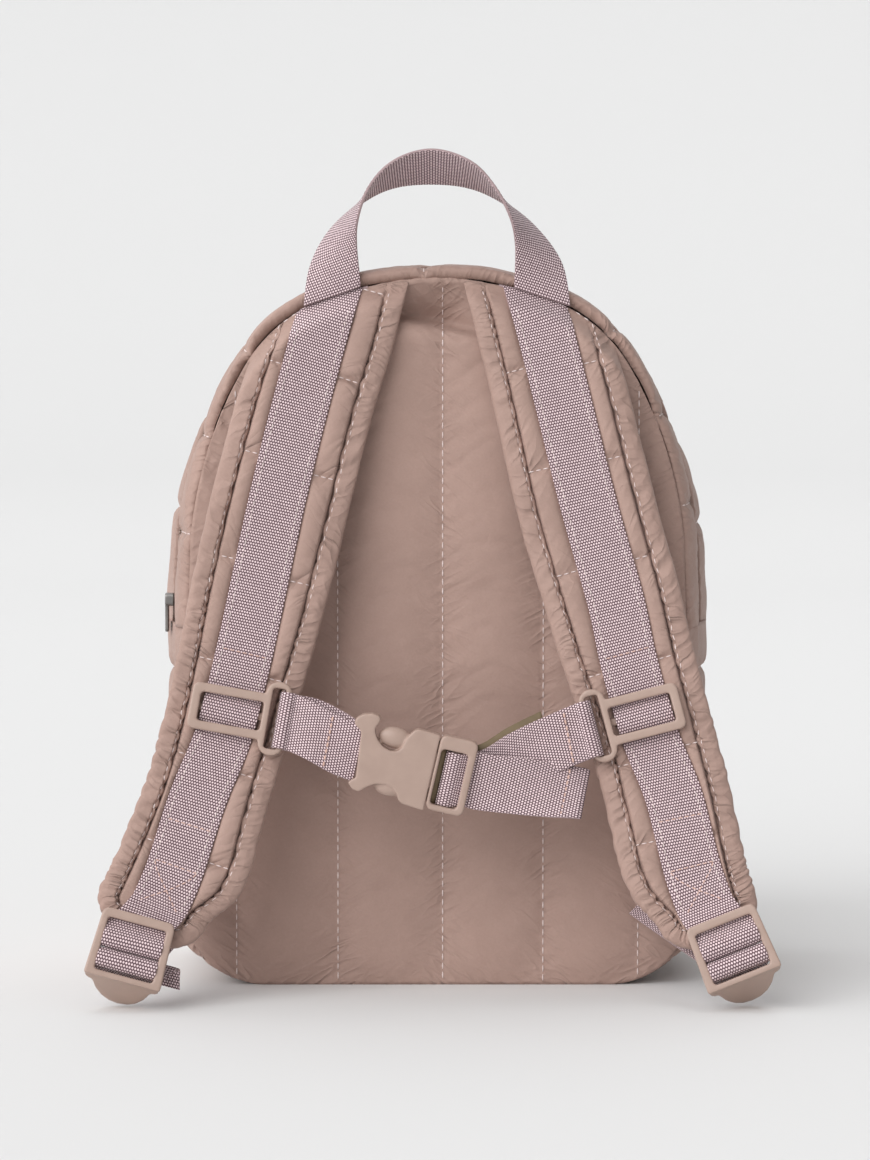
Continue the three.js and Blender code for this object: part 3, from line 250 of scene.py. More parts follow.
nylonLook = {
    "shade": (0.361, 0.241, 0.202), "light": (0.417, 0.281, 0.237), "roughness": 0.68, "pitch": 0.55,
}


def makeNylon(name, shade, light, roughness, pitch):
    material, tree, shader, coords = startMaterial(name)
    grain = addNode(tree, "ShaderNodeGroup", node_tree=grainGroup)
    tree.links.new(coords.outputs["UV"], grain.inputs["Cloth"])
    tree.links.new(coords.outputs["Object"], grain.inputs["Object"])
    grain.inputs["Pitch"].default_value = pitch
    drawn = addNode(tree, "ShaderNodeAttribute", attribute_name="pucker")
    tree.links.new(drawn.outputs["Fac"], grain.inputs["Pucker"])
    tone = ranged(tree, grain.outputs["Tone"], 0.3, 0.7, 0, 1)
    tree.links.new(blendColour(tree, tone, shade, light), shader.inputs["Base Color"])
    rough = ranged(tree, grain.outputs["Crinkle"], 0.3, 0.7, roughness - 0.06, roughness + 0.06)
    tree.links.new(rough, shader.inputs["Roughness"])
    soft = bumped(tree, grain.outputs["Crinkle"], 0.24, 0.0010)
    sharp = bumped(tree, grain.outputs["Creases"], 1.0, 0.0012, soft)
    fine = bumped(tree, grain.outputs["Weave"], 0.2, 0.00014, sharp)
    tree.links.new(fine, shader.inputs["Normal"])
    shader.inputs["Sheen Weight"].default_value = 0.08
    shader.inputs["Sheen Roughness"].default_value = 0.45
    shader.inputs["Specular IOR Level"].default_value = 0.34
    return material


webbingLook = {"yarn": (0.960, 0.760, 0.790), "ground": (0.098, 0.049, 0.058), "pitch": 1.2, "row": 1.28}


def makeWebbing(name, yarn, ground, pitch, row):
    material, tree, shader, coords = startMaterial(name)
    weave = addNode(tree, "ShaderNodeGroup", node_tree=weaveGroup)
    tree.links.new(coords.outputs["UV"], weave.inputs["Cloth"])
    weave.inputs["Pitch"].default_value = pitch
    weave.inputs["Row"].default_value = row
    fuzz = noiseNode(tree, coords.outputs["Object"], scale=420.0, detail=3.0)
    lit = blendColour(tree, ranged(tree, fuzz, 0.3, 0.7, 0, 0.2), yarn, ground)
    tree.links.new(blendColour(tree, weave.outputs["Dots"], ground, lit), shader.inputs["Base Color"])
    tree.links.new(bumped(tree, weave.outputs["Height"], 0.7, 0.0003), shader.inputs["Normal"])
    tree.links.new(ranged(tree, weave.outputs["Dots"], 0, 1, 0.9, 0.62), shader.inputs["Roughness"])
    shader.inputs["Sheen Weight"].default_value = 0.15
    return material


def makeMoulded(name, shade, light, roughness, metallic=0.0):
    material, tree, shader, coords = startMaterial(name)
    grain = noiseNode(tree, coords.outputs["Object"], scale=2600.0, detail=2.0)
    cloud = noiseNode(tree, coords.outputs["Object"], scale=130.0, detail=4.0)
    tone = ranged(tree, cloud, 0.3, 0.7, 0, 1)
    tree.links.new(blendColour(tree, tone, shade, light), shader.inputs["Base Color"])
    rough = ranged(tree, cloud, 0.3, 0.7, roughness - 0.05, roughness + 0.07)
    tree.links.new(rough, shader.inputs["Roughness"])
    tree.links.new(bumped(tree, grain, 0.12, 0.0001), shader.inputs["Normal"])
    shader.inputs["Metallic"].default_value = metallic
    return material


nylon = makeNylon("taupeNylon", **nylonLook)
webbing = makeWebbing("roseWebbing", **webbingLook)
webbingEdge = makeMoulded("webbingEdge", (0.330, 0.235, 0.240), (0.420, 0.310, 0.315), 0.8)
plastic = makeMoulded("taupePlastic", (0.395, 0.280, 0.232), (0.430, 0.308, 0.256), 0.42)
zipTape = makeNylon("zipTape", (0.150, 0.104, 0.084), (0.210, 0.150, 0.122), 0.75, 0.8)
zipCoil = makeMoulded("zipCoil", (0.240, 0.170, 0.138), (0.300, 0.215, 0.176), 0.4)
castMetal = makeMoulded("castMetal", (0.200, 0.192, 0.185), (0.300, 0.290, 0.280), 0.34, 1.0)
thread = makeMoulded("paleThread", (0.700, 0.580, 0.560), (0.830, 0.720, 0.700), 0.7)
lining = makeMoulded("oliveLining", (0.135, 0.098, 0.055), (0.190, 0.140, 0.082), 0.8)
warmThread = makeMoulded("warmThread", (0.620, 0.390, 0.330), (0.740, 0.510, 0.440), 0.7)
print("materials made")


# pieces
def addPiece(name, bm, material, nodes=()):
    mesh = bpy.data.meshes.new(name)
    bm.to_mesh(mesh)
    bm.free()
    mesh.shade_smooth()
    mesh.materials.append(material)
    piece = bpy.data.objects.new(name, mesh)
    bpy.context.collection.objects.link(piece)
    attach(piece, "root")
    if nodes:
        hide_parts(*nodes)
    return piece


def addThread(name, bm, material=thread):
    addPiece(name, bm, material)


def addModifier(piece, kind, **values):
    modifier = piece.modifiers.new(kind.lower(), kind)
    for key, value in values.items():
        setattr(modifier, key, value)


# where gives a point, its place on the flat cloth, its hold and, if any, its creasing
def clothGrid(columns, rows, where):
    bm = bmesh.new()
    flat = bm.loops.layers.uv.new("cloth")
    hold = bm.verts.layers.float.new("sewn")
    creased = bm.verts.layers.float.new("pucker")
    bmesh.ops.create_grid(bm, x_segments=len(columns) - 1, y_segments=len(rows) - 1, size=1)
    places = {}
    for vert in bm.verts:
        i = round((vert.co.x + 1) / 2 * (len(columns) - 1))
        j = round((vert.co.y + 1) / 2 * (len(rows) - 1))
        point, places[vert], vert[hold], *more = where(columns[i], rows[j])
        vert[creased] = more[0] if more else 0.0
        vert.co = toFrame(point)
    for face in bm.faces:
        for loop in face.loops:
            loop[flat].uv = places[loop.vert]
    return bm


def closeTube(bm):
    bmesh.ops.remove_doubles(bm, verts=bm.verts, dist=1e-5)
    bmesh.ops.holes_fill(bm, edges=[edge for edge in bm.edges if edge.is_boundary])
    bmesh.ops.recalc_face_normals(bm, faces=bm.faces)


settleLook = {
    "quality": 5, "mass": 0.002, "tension_stiffness": 6, "compression_stiffness": 6, "shear_stiffness": 3,
    "bending_stiffness": 0.02, "air_damping": 2, "use_pressure": True,
}


def settle(piece, pressure, slack, cap, frames=14):  # cloth held at its stitches swells and puckers
    mesh = piece.data
    held = [i for i, value in enumerate(mesh.attributes["sewn"].data) if value.value > 0.5]
    group = piece.vertex_groups.new(name="sewn")
    group.add(held, 1, "REPLACE")
    start = [vert.co.copy() for vert in mesh.vertices]
    cloth = piece.modifiers.new("settle", "CLOTH")
    cloth.settings.vertex_group_mass = "sewn"
    for key, value in settleLook.items():
        setattr(cloth.settings, key, value)
    cloth.settings.uniform_pressure_force = pressure
    cloth.settings.shrink_min = -slack
    cloth.settings.effector_weights.gravity = 0
    cloth.point_cache.frame_start = 1
    cloth.point_cache.frame_end = frames
    scene = bpy.context.scene
    for number in range(1, frames + 1):
        scene.frame_set(number)
    swollen = piece.evaluated_get(bpy.context.evaluated_depsgraph_get()).data
    moved = [vert.co.copy() for vert in swollen.vertices]
    piece.modifiers.remove(cloth)
    furthest = 0
    for vert, first, last in zip(mesh.vertices, start, moved):
        step = last - first
        furthest = max(furthest, step.length)
        vert.co = first + step * min(1, cap * 0.001 / max(step.length, 1e-9))
    scene.frame_set(1)
    print("  settled", piece.name, "moved up to", round(furthest * 1000, 2), "mm")


def surfaceOf(piece):
    bpy.context.view_layer.update()
    return BVHTree.FromObject(piece, bpy.context.evaluated_depsgraph_get())


def sew(bm, points, outs, stitch, gap, radius):  # a row of thread dashes along points
    run, target = 0, gap / 2
    for (a, b), out in zip(zip(points, points[1:]), outs):
        length = (b - a).length
        while length > 0 and run + length >= target + stitch / 2:
            along = (b - a).normalized()
            middle = a + along * (target + stitch / 2 - run)
            side = out.cross(along).normalized()
            lift = along.cross(side)
            turn = Matrix((along, side, lift)).transposed().to_4x4()
            size = Matrix.Diagonal((stitch * 0.00055, radius * 0.001, radius * 0.0008, 1))
            spot = Matrix.Translation(toFrame(middle)) @ turn @ size
            bmesh.ops.create_uvsphere(bm, u_segments=6, v_segments=4, radius=1, matrix=spot)
            target += stitch + gap
        run += length


def sewOn(bm, surface, starts, look, lift, **sizes):  # thread where looks from the starts meet the cloth
    hits = [surface.ray_cast(toFrame(start), look)[0] for start in starts]
    points = [(hit - bagOrigin) * 1000 - look * lift for hit in hits if hit]
    sew(bm, points, [-look] * len(points), **sizes)


# bag body
seamShape = {
    "top": 323, "arcs": ((150, 20), (70, 40), (190, 25)), "archFoot": 165,
    "corner": 40, "cornerMiddle": 78, "depth": 115, "rollDepth": 3, "gap": 0.3,
}
swellRows = (
    {"z": 0, "roll": 0, "belly": 0},
    {"z": 12, "roll": 1.5, "belly": 1.5},
    {"z": 40, "roll": 4, "belly": 4.5},
    {"z": 131, "roll": 4.5, "belly": 6.2},
    {"z": 177, "roll": 4.8, "belly": 8},
    {"z": 213, "roll": 5, "belly": 6.8},
    {"z": 250, "roll": 5.5, "belly": 3.3},
    {"z": 286, "roll": 6, "belly": 1},
    {"z": 323, "roll": 6.9, "belly": 0.5},
)


def traceSeam():  # clockwise from the top middle, in x and z
    side = [Vector((0, seamShape["top"]))]
    heading = 0
    for radius, sweep in seamShape["arcs"]:
        middle = side[-1] - Vector((math.sin(heading), math.cos(heading))) * radius
        turn = math.radians(sweep)
        count = int(radius * turn)
        for k in range(1, count + 1):
            angle = heading + turn * k / count
            side.append(middle + Vector((math.sin(angle), math.cos(angle))) * radius)
        heading += turn
    corner, cornerMiddle = seamShape["corner"], seamShape["cornerMiddle"]
    start, foot = side[-1], Vector((cornerMiddle + corner, corner))
    count = int((start - foot).length)
    side += [start.lerp(foot, k / count) for k in range(1, count + 1)]
    for k in range(1, 64):
        angle = math.pi / 2 * k / 63
        side.append(Vector((cornerMiddle + corner * math.cos(angle), corner - corner * math.sin(angle))))
    side += [Vector((cornerMiddle * (1 - k / 78), 0)) for k in range(1, 79)]
    return side, side + [Vector((-point.x, point.y)) for point in reversed(side[1:-1])]


rightSide, seamPoints = traceSeam()
seamRuns = runsAlong(seamPoints + seamPoints[:1])
seamLength = seamRuns[-1]
seamTree = kdtree.KDTree(len(seamPoints))
for index, seamPoint in enumerate(seamPoints):
    seamTree.insert((seamPoint.x, 0, seamPoint.y), index)
seamTree.balance()


def seamSpot(run):
    run %= seamLength
    i = min(bisect.bisect_right(seamRuns, run) - 1, len(seamPoints) - 1)
    share = (run - seamRuns[i]) / (seamRuns[i + 1] - seamRuns[i])
    return seamPoints[i].lerp(seamPoints[(i + 1) % len(seamPoints)], share)


def seamAt(run):  # point and the direction outwards
    along = (seamSpot(run + 2.5) - seamSpot(run - 2.5)).normalized()
    return seamSpot(run), Vector((-along.y, along.x))


def seamDistance(x, z):
    return seamTree.find((x, 0, z))[2]


def runAtHeight(z):  # on the right side
    return next(seamRuns[i] for i, point in enumerate(rightSide) if point.y <= z)


def topAt(x):
    for a, b in zip(rightSide, rightSide[1:]):
        if a.x <= abs(x) <= b.x:
            return mix(a.y, b.y, (abs(x) - a.x) / (b.x - a.x))
    return seamShape["archFoot"]


def bottomAt(x):
    over = abs(x) - seamShape["cornerMiddle"]
    return seamShape["corner"] - math.sqrt(seamShape["corner"] ** 2 - over ** 2) if over > 0 else 0


def sideAt(z):  # half width of the seam outline
    for a, b in zip(rightSide, rightSide[1:]):
        if b.y <= z <= a.y and a.y > b.y:
            return mix(a.x, b.x, (a.y - z) / (a.y - b.y))
    return seamShape["cornerMiddle"]


def swell(z, depth):  # a roll beside each seam and a belly between them
    near = 1 - math.exp(-depth / seamShape["rollDepth"])
    far = 1 - math.exp(-(seamShape["depth"] - depth) / seamShape["rollDepth"])
    belly = math.sin(math.pi * depth / seamShape["depth"]) ** 2
    return readRows(swellRows, "roll", z) * near * far + readRows(swellRows, "belly", z) * belly


def skin(run, depth, inset=0):
    point, out = seamAt(run)
    reach = swell(point.y, depth) - inset
    return Vector((point.x + out.x * reach, depth, point.y + out.y * reach))


gussetLook = {
    "archStitches": (-182, -137, -95, -50, -6, 40, 84, 127, 169), "frontShift": 10, "lowerSpacing": 44.5,
    "cell": 1.9, "wall": 2.6, "overlap": 0.6, "draw": 1.6, "valley": 2.2, "gather": 0.85, "wavelength": 6.4,
    "corner": 1.4, "cornerRoll": 2.6, "forward": 5,
}
zipLook = {"near": 23, "far": 31, "endZ": 165, "recess": 1.6, "tape": 1.2, "tooth": 1.25, "pull": 0.55}
zipRun = runAtHeight(zipLook["endZ"])


def makeGusset(node, stitches, span, depths, seed):
    columns = evenly([span[0], *stitches, span[1]], gussetLook["cell"])
    rows = evenly(depths, gussetLook["cell"])

    def where(run, depth):
        point, out = seamAt(run)
        lift = smooth(point.y, 2, 30)
        nearest = min(abs(run - stitch) for stitch in stitches)
        valley = math.exp(-(nearest / gussetLook["valley"]) ** 2)
        drawn = gussetLook["draw"] * valley
        seamSide = min(depth - depths[0], depths[-1] - depth)
        corner = smooth(70 - point.y, 0, 30) * smooth(abs(point.x), 70, 95)
        gather = gussetLook["gather"] + gussetLook["corner"] * corner
        pucker = gather * crease(run + 0.4 * depth, gussetLook["wavelength"], seed)
        pucker *= math.exp(-seamSide / mix(4, 9, corner))
        pucker += gussetLook["cornerRoll"] * corner * math.exp(-((depth - 7) / 11) ** 2)
        pucker *= min(seamSide, 1)
        soft = 0.8 * noise.noise(Vector((run * 0.05, depth * 0.07, seed)))
        soft += 0.5 * noise.noise(Vector((run * 0.2, depth * 0.1, seed))) * math.exp(-nearest / 5)
        creasing = 0.9 * math.exp(-nearest / 6) + 0.6 * math.exp(-seamSide / 5)
        spot = skin(run, depth, lift * (drawn - pucker - soft))
        forward = gussetLook["forward"] * math.exp(-((depth - 4) / 3.2) ** 2) * smooth(point.y, 230, 290)
        spot.y -= forward * min(seamSide / 1.5, 1) * (1 - 0.35 * valley)
        sewn = seamSide < 0.01 or nearest < 0.01 or point.y < 1
        return spot, (depth, run), 1.0 if sewn else 0.0, creasing

    piece = addPiece(node + "_cloth", clothGrid(columns, rows, where), nylon, [node])
    settle(piece, pressure=4, slack=0.012, cap=1.2)
    addModifier(piece, "SOLIDIFY", thickness=gussetLook["wall"] * 0.001, offset=-1)
    surface = surfaceOf(piece)
    bm = bmesh.new()
    for stitch in stitches:
        point, out = seamAt(stitch)
        if point.y < 1:  # the flat bottom stands on the floor
            continue
        starts = [skin(stitch, depth, -12) for depth in evenly([depths[0] + 1, depths[-1] - 1], 1.2)]
        look = Vector((-out.x, 0, -out.y))
        sewOn(bm, surface, starts, look, 0.12, stitch=2.8, gap=1.0, radius=0.32)
    addThread(node + "_cloth_thread", bm)


archSpan = (-zipRun - gussetLook["overlap"], zipRun + gussetLook["overlap"])
lowerSpan = (zipRun - gussetLook["overlap"], seamLength - zipRun + gussetLook["overlap"])
rearStitches = gussetLook["archStitches"]
frontStitches = [run + gussetLook["frontShift"] for run in rearStitches]
lowerCount = round((lowerSpan[1] - lowerSpan[0]) / gussetLook["lowerSpacing"])
lowerStitches = [mix(*lowerSpan, (k + 0.5) / lowerCount) for k in range(lowerCount)]
backSeam, frontSeam = seamShape["gap"], seamShape["depth"] - seamShape["gap"]
makeGusset("rear_gusset", rearStitches, archSpan, (backSeam, 4, zipLook["near"]), 1.3)
makeGusset("front_gusset", frontStitches, archSpan, (zipLook["far"], frontSeam), 2.9)
makeGusset("lower_gusset", lowerStitches, lowerSpan, (backSeam, 4, frontSeam), 4.1)
print("gussets made")


# zip: a tape with two rows of small teeth
def makeZip():
    middle = (zipLook["near"] + zipLook["far"]) / 2
    columns = evenly([-zipRun, zipRun], 3)
    rows = evenly([zipLook["near"] - 1.5, zipLook["far"] + 1.5], 1.5)

    def where(run, depth):
        return skin(run, depth, zipLook["recess"] + 0.6), (run, depth), 0.0

    tape = addPiece("zip_tape", clothGrid(columns, rows, where), zipTape, ["zip_chain"])
    addModifier(tape, "SOLIDIFY", thickness=zipLook["tape"] * 0.001, offset=-1)
    bm = bmesh.new()
    for k in range(int(2 * zipRun / zipLook["tooth"])):
        run = -zipRun + (k + 0.5) * zipLook["tooth"]
        side = 1 if k % 2 else -1
        spot = skin(run, middle + side * 0.55, zipLook["recess"] - 0.1)
        point, out = seamAt(run)
        along = Vector((out.y, 0, -out.x))
        lift = Vector((out.x, 0, out.y))
        turn = Matrix((along, Vector((0, 1, 0)), lift)).transposed().to_4x4()
        size = Matrix.Diagonal((0.00055, 0.0016, 0.0008, 1))
        place = Matrix.Translation(toFrame(spot)) @ turn @ size
        bmesh.ops.create_uvsphere(bm, u_segments=6, v_segments=4, radius=1, matrix=place)
    addPiece("zip_coil", bm, zipCoil)


makeZip()
print("zip made")


# quilted panels
panelLook = {
    "lines": (-92, -45.5, 2.5, 48.5, 92), "edge": 1.2, "relief": 3.6, "stitched": 0.16, "roll": 30,
    "cell": 1.75, "wall": 2.4, "flank": 95, "shoulder": 105, "dome": 7,
    "gather": 0.9, "wrinkle": 0.9, "fold": 0.7, "backSeed": 11.3, "frontSeed": 23.7,
}


def panelSpot(column, share):  # straight columns inside, bent out to the seam in the flanks
    low, high = bottomAt(column), topAt(column)
    z = mix(low, high, share)
    flank, shoulder = panelLook["flank"], panelLook["shoulder"]
    over = (abs(column) - flank) / (shoulder - flank)
    if over <= 0:
        return column, z
    edge = sideAt(min(max(z, bottomAt(shoulder)), topAt(shoulder)))
    return math.copysign(flank + over * (edge - flank), column), z


def quilting(x, z, seed):  # height of the padding over the panel's flat side
    widest = seamShape["cornerMiddle"] + seamShape["corner"]
    stops = (-widest, *panelLook["lines"], widest)
    i = max(min(bisect.bisect_left(stops, x), len(stops) - 1), 1)
    share = min(max((x - stops[i - 1]) / (stops[i] - stops[i - 1]), 0), 1)
    puff = mix(panelLook["stitched"], 1, math.sin(math.pi * share) ** 0.7)
    away = seamDistance(x, z)
    roll = math.sqrt(smooth(away, 0, panelLook["roll"]))
    height = panelLook["edge"] + panelLook["relief"] * puff * roll
    nearest = min(abs(x - line) for line in panelLook["lines"])
    leaning = Vector((nearest * 0.07, (z - 0.8 * nearest) * 0.17, seed + i))
    pucker = panelLook["wrinkle"] * noise.noise(leaning) * math.exp(-nearest / 6) * min(nearest / 1.5, 1)
    broad = Vector((nearest * 0.025, (z - 0.7 * nearest) * 0.055, seed + 2 * i))
    pucker += panelLook["fold"] * noise.noise(broad) * math.exp(-nearest / 16) * min(nearest / 4, 1)
    corner = smooth(abs(x), 60, 100) * (1 - smooth(z, 25, 60))
    seamPucker = panelLook["gather"] * (0.35 + corner) * ripple(x * 0.8 + z, 7, seed + 3)
    seamPucker *= math.exp(-away / 6) * min(away / 2, 1)
    soft = 0.45 * noise.noise(Vector((x * 0.03, z * 0.03, seed)))
    if seed == panelLook["backSeed"]:  # drawn in between the two straps at the top
        between = math.exp(-((x + 3) / 25) ** 2)
        ridge = 2 * math.exp(-((z - 295 + 0.2 * x) / 6) ** 2)
        soft += between * (ridge - 18 * smooth(z + 0.2 * x, 300, 304.5))
    return height + (pucker + seamPucker + soft) * roll


def makePanel(node, seed, front):
    flank, shoulder = panelLook["flank"], panelLook["shoulder"]
    inner = evenly([-flank, *panelLook["lines"], flank], panelLook["cell"])
    outer = evenly([flank, shoulder], (shoulder - flank) / 10)[1:]
    columns = [-x for x in reversed(outer)] + inner + outer
    rows = evenly([0, 1], panelLook["cell"] / seamShape["top"])

    def where(column, share):
        x, z = panelSpot(column, share)
        height = quilting(x, z, seed)
        sewn = share in (0, 1) or abs(column) == shoulder or column in panelLook["lines"]
        away = seamDistance(x, z)
        nearest = min(abs(x - line) for line in panelLook["lines"])
        creasing = 0.65 * math.exp(-nearest / 7) + 0.5 * math.exp(-away / 8)
        depth = seamShape["depth"] + panelLook["dome"] * smooth(away, 0, seamShape["cornerMiddle"])
        y = depth + height if front else -height
        return Vector((x, y, z)), (x, z), 1.0 if sewn else 0.0, creasing

    bm = clothGrid(columns, rows, where)
    if front:
        bmesh.ops.reverse_faces(bm, faces=bm.faces)
    piece = addPiece(node + "_cloth", bm, nylon, [node])
    settle(piece, pressure=5, slack=0.004, cap=1.6)
    addModifier(piece, "SOLIDIFY", thickness=panelLook["wall"] * 0.001, offset=-1)
    return piece


def sewPanel(name, piece, front):  # dashed thread down each channel line
    surface = surfaceOf(piece)
    bm = bmesh.new()
    look = Vector((0, -1 if front else 1, 0))
    for line in panelLook["lines"]:
        low, high = bottomAt(line) + 3, topAt(line) - 3
        starts = [Vector((line, 180 if front else -60, z)) for z in evenly([high, low], 1.2)]
        sewOn(bm, surface, starts, look, 0.15, stitch=3.1, gap=1.1, radius=0.3)
    addThread(name, bm)


backPanel = makePanel("back_panel", panelLook["backSeed"], False)
frontPanel = makePanel("front_panel", panelLook["frontSeed"], True)
sewPanel("back_panel_thread", backPanel, False)
sewPanel("front_panel_thread", frontPanel, True)
print("panels made")


# webbing ribbons: rows of centre and direction across
webbingSize = {"width": 25.4, "thickness": 1.4, "gap": 0.3, "rim": 0.45}


def ribbonRows(rows, step=1.4):  # a third entry widens or narrows the ribbon there
    centres = [row[0] for row in rows]
    acrosses = [row[1] for row in rows]
    widths = [Vector((row[2] if len(row) > 2 else 1, 0, 0)) for row in rows]
    shares = [0]
    for i, (a, b) in enumerate(zip(centres, centres[1:])):
        count = max(round((b - a).length / step), 1)
        shares += [(i + k / count) / (len(rows) - 1) for k in range(1, count + 1)]
    fine = []
    for share in shares:
        across = curvePoint(acrosses, share).normalized() * curvePoint(widths, share).x
        fine.append((curvePoint(centres, share), across))
    return fine


sewnFrom = 255  # only what lies higher is drawn to the top seam


def underSeam(point):  # sewn ends dive into the top seam
    if point.z > sewnFrom:
        top = topAt(point.x) - 0.3
        point.z = min(point.z, top)
        point.y = mix(point.y, -1, 0.95 * smooth(point.z, top - 11, top))
    return point


def weaveThickness(piece):
    piece.data.materials.append(webbingEdge)
    thickness, rim = webbingSize["thickness"] * 0.001, webbingSize["rim"] * 0.001
    addModifier(piece, "SOLIDIFY", thickness=thickness, offset=0, material_offset_rim=1)
    addModifier(piece, "BEVEL", width=rim, segments=2, limit_method="ANGLE", angle_limit=math.radians(50))


def makeRibbon(name, node, rows):
    width = webbingSize["width"]
    runs = runsAlong([centre for centre, across in rows])

    def where(aside, index):
        centre, across = rows[int(index)]
        spot = centre + across * aside
        if spot.z > sewnFrom and spot.y > -30:
            underSeam(spot)
        return spot, (aside + width / 2, runs[int(index)]), 0.0

    bm = clothGrid(evenly([-width / 2, width / 2], 2.2), list(range(len(rows))), where)
    piece = addPiece(name, bm, webbing, [node])
    weaveThickness(piece)


# grab handle: far and near edge over the top, left to right
handleRows = (
    ((-61, -3, 301), (-34.5, -3, 310)),
    ((-60.6, -3, 312), (-34.8, -3.2, 321)),
    ((-57.7, 4.5, 330), (-36.4, -5.5, 338)),
    ((-48.5, 10.5, 346.5), (-36, -11, 349)),
    ((-31.6, 12, 360.5), (-31.2, -12, 363.5)),
    ((-19.2, 10.5, 365.5), (-20.5, -11.5, 375.5)),
    ((-2.8, 10, 367), (-2.8, -10, 381.3)),
    ((13.7, 10.5, 365.5), (15.5, -11.5, 375.5)),
    ((27, 12, 360.5), (26.5, -12, 363.5)),
    ((43.6, 10.5, 348.5), (33.4, -11, 349.5)),
    ((56.6, 4.5, 331), (35.4, -5.5, 337.5)),
    ((60.4, -3, 312), (35, -3.2, 320.5)),
    ((61, -3, 301), (34.8, -3, 310)),
)


def makeHandle():
    far = [Vector(row[0]) for row in handleRows]
    near = [Vector(row[1]) for row in handleRows]
    shares = [k / 150 for k in range(151)]
    edges = [(curvePoint(far, share), curvePoint(near, share)) for share in shares]
    edges = [pair for pair in edges if max(edge.z - topAt(edge.x) for edge in pair) > 0.4]
    runs = runsAlong([(a + b) / 2 for a, b in edges])
    width = webbingSize["width"]

    def where(share, index):
        a, b = edges[int(index)]
        spot = a.lerp(b, share)
        floorZ = topAt(spot.x) - 1.4
        if spot.y < 0.2 and spot.z < floorZ:
            spot.z = floorZ
        return spot, (share * width, runs[int(index)]), 0.0

    bm = clothGrid(evenly([0, 1], 0.08), list(range(len(edges))), where)
    piece = addPiece("grab_handle_webbing", bm, webbing, ["grab_handle"])
    weaveThickness(piece)


makeHandle()
print("handle made")


# shoulder straps: middle of the pad, full width, webbing off the middle
strapRows = {
    "left": (
        (-41, -5.4, 329, 58, -3), (-49, -9.5, 300, 60, -3.5), (-59, -14, 268, 61, -2),
        (-70.5, -20, 223, 62, -1.5), (-81, -26.5, 178, 61, -0.5), (-87.5, -31.5, 150, 58.5, 0),
        (-95.5, -38, 118, 56, 0), (-103.5, -45, 90, 55.5, -3), (-114.5, -54, 56, 60, -3),
        (-120.5, -58, 41, 62, -3.5),
    ),
    "right": (
        (40, -5.4, 329, 58, 0.5), (48, -9.5, 300, 60, 0.5), (56, -14, 268, 61, 0.5),
        (66.5, -20, 223, 62, 1), (79, -26.5, 178, 61, 1), (86.5, -31.5, 150, 58.5, -0.5),
        (96, -38, 118, 56, -1), (103, -45, 90, 56, 2.5), (110.5, -54, 56, 55, 3.5),
        (116, -58, 41, 53, 3.5),
    ),
}
strapLook = {
    "end": 16.5, "endTurn": 84, "front": 3.8, "back": 4.2, "puff": 2.5, "topShare": 0.72, "tuck": 1.2,
    "hem": 9, "hemThick": 8.4, "slant": {"left": 12, "right": 7},
    "crossStitches": {
        "left": {-1: (279.4, 240, 193.6, 148.6, 106, 67), 1: (321, 282, 237.5, 190, 146.2, 104.2, 65.8)},
        "right": {-1: (285, 240.6, 194.6, 149, 108.8, 73.5), 1: (281.2, 238.4, 192.2, 148.6, 110.3, 72.2)},
    },
}


def readStrap(side):
    middle = [Vector(row[:3]) for row in strapRows[side]]
    sizes = [Vector((row[3], row[4], 0)) for row in strapRows[side]]

    def strap(share):
        centre = curvePoint(middle, share)
        along = (curvePoint(middle, share + 0.003) - curvePoint(middle, share - 0.003)).normalized()
        across = Vector((0, -1, 0)).cross(along).normalized()
        size = curvePoint(sizes, share)
        return {
            "centre": centre, "along": along, "across": across, "out": along.cross(across),
            "width": size.x, "webbing": size.y,
        }

    fine = [(curvePoint(middle, k / 400).z, k / 400) for k in range(401)]
    length = runsAlong([curvePoint(middle, k / 200) for k in range(201)])[-1]
    return {"at": strap, "fine": fine, "length": length, "side": side}


def shareAtHeight(strap, z):
    return next((share for height, share in strap["fine"] if height <= z), 1)


def onStrap(spot, aside, height, ahead=0.0):
    return spot["centre"] + spot["across"] * aside + spot["out"] * height + spot["along"] * ahead


def halfWidths(strap, spot, share):  # the edge towards the bag's middle is cut in at the lower end
    half = spot["width"] / 2
    inner = half - strapLook["slant"][strap["side"]] * smooth(share, 0.84, 1)
    return {-1: half, 1: inner} if strap["side"] == "left" else {-1: inner, 1: half}


def thickShare(share):
    return mix(strapLook["topShare"], 1, smooth(share, 0, 0.2))


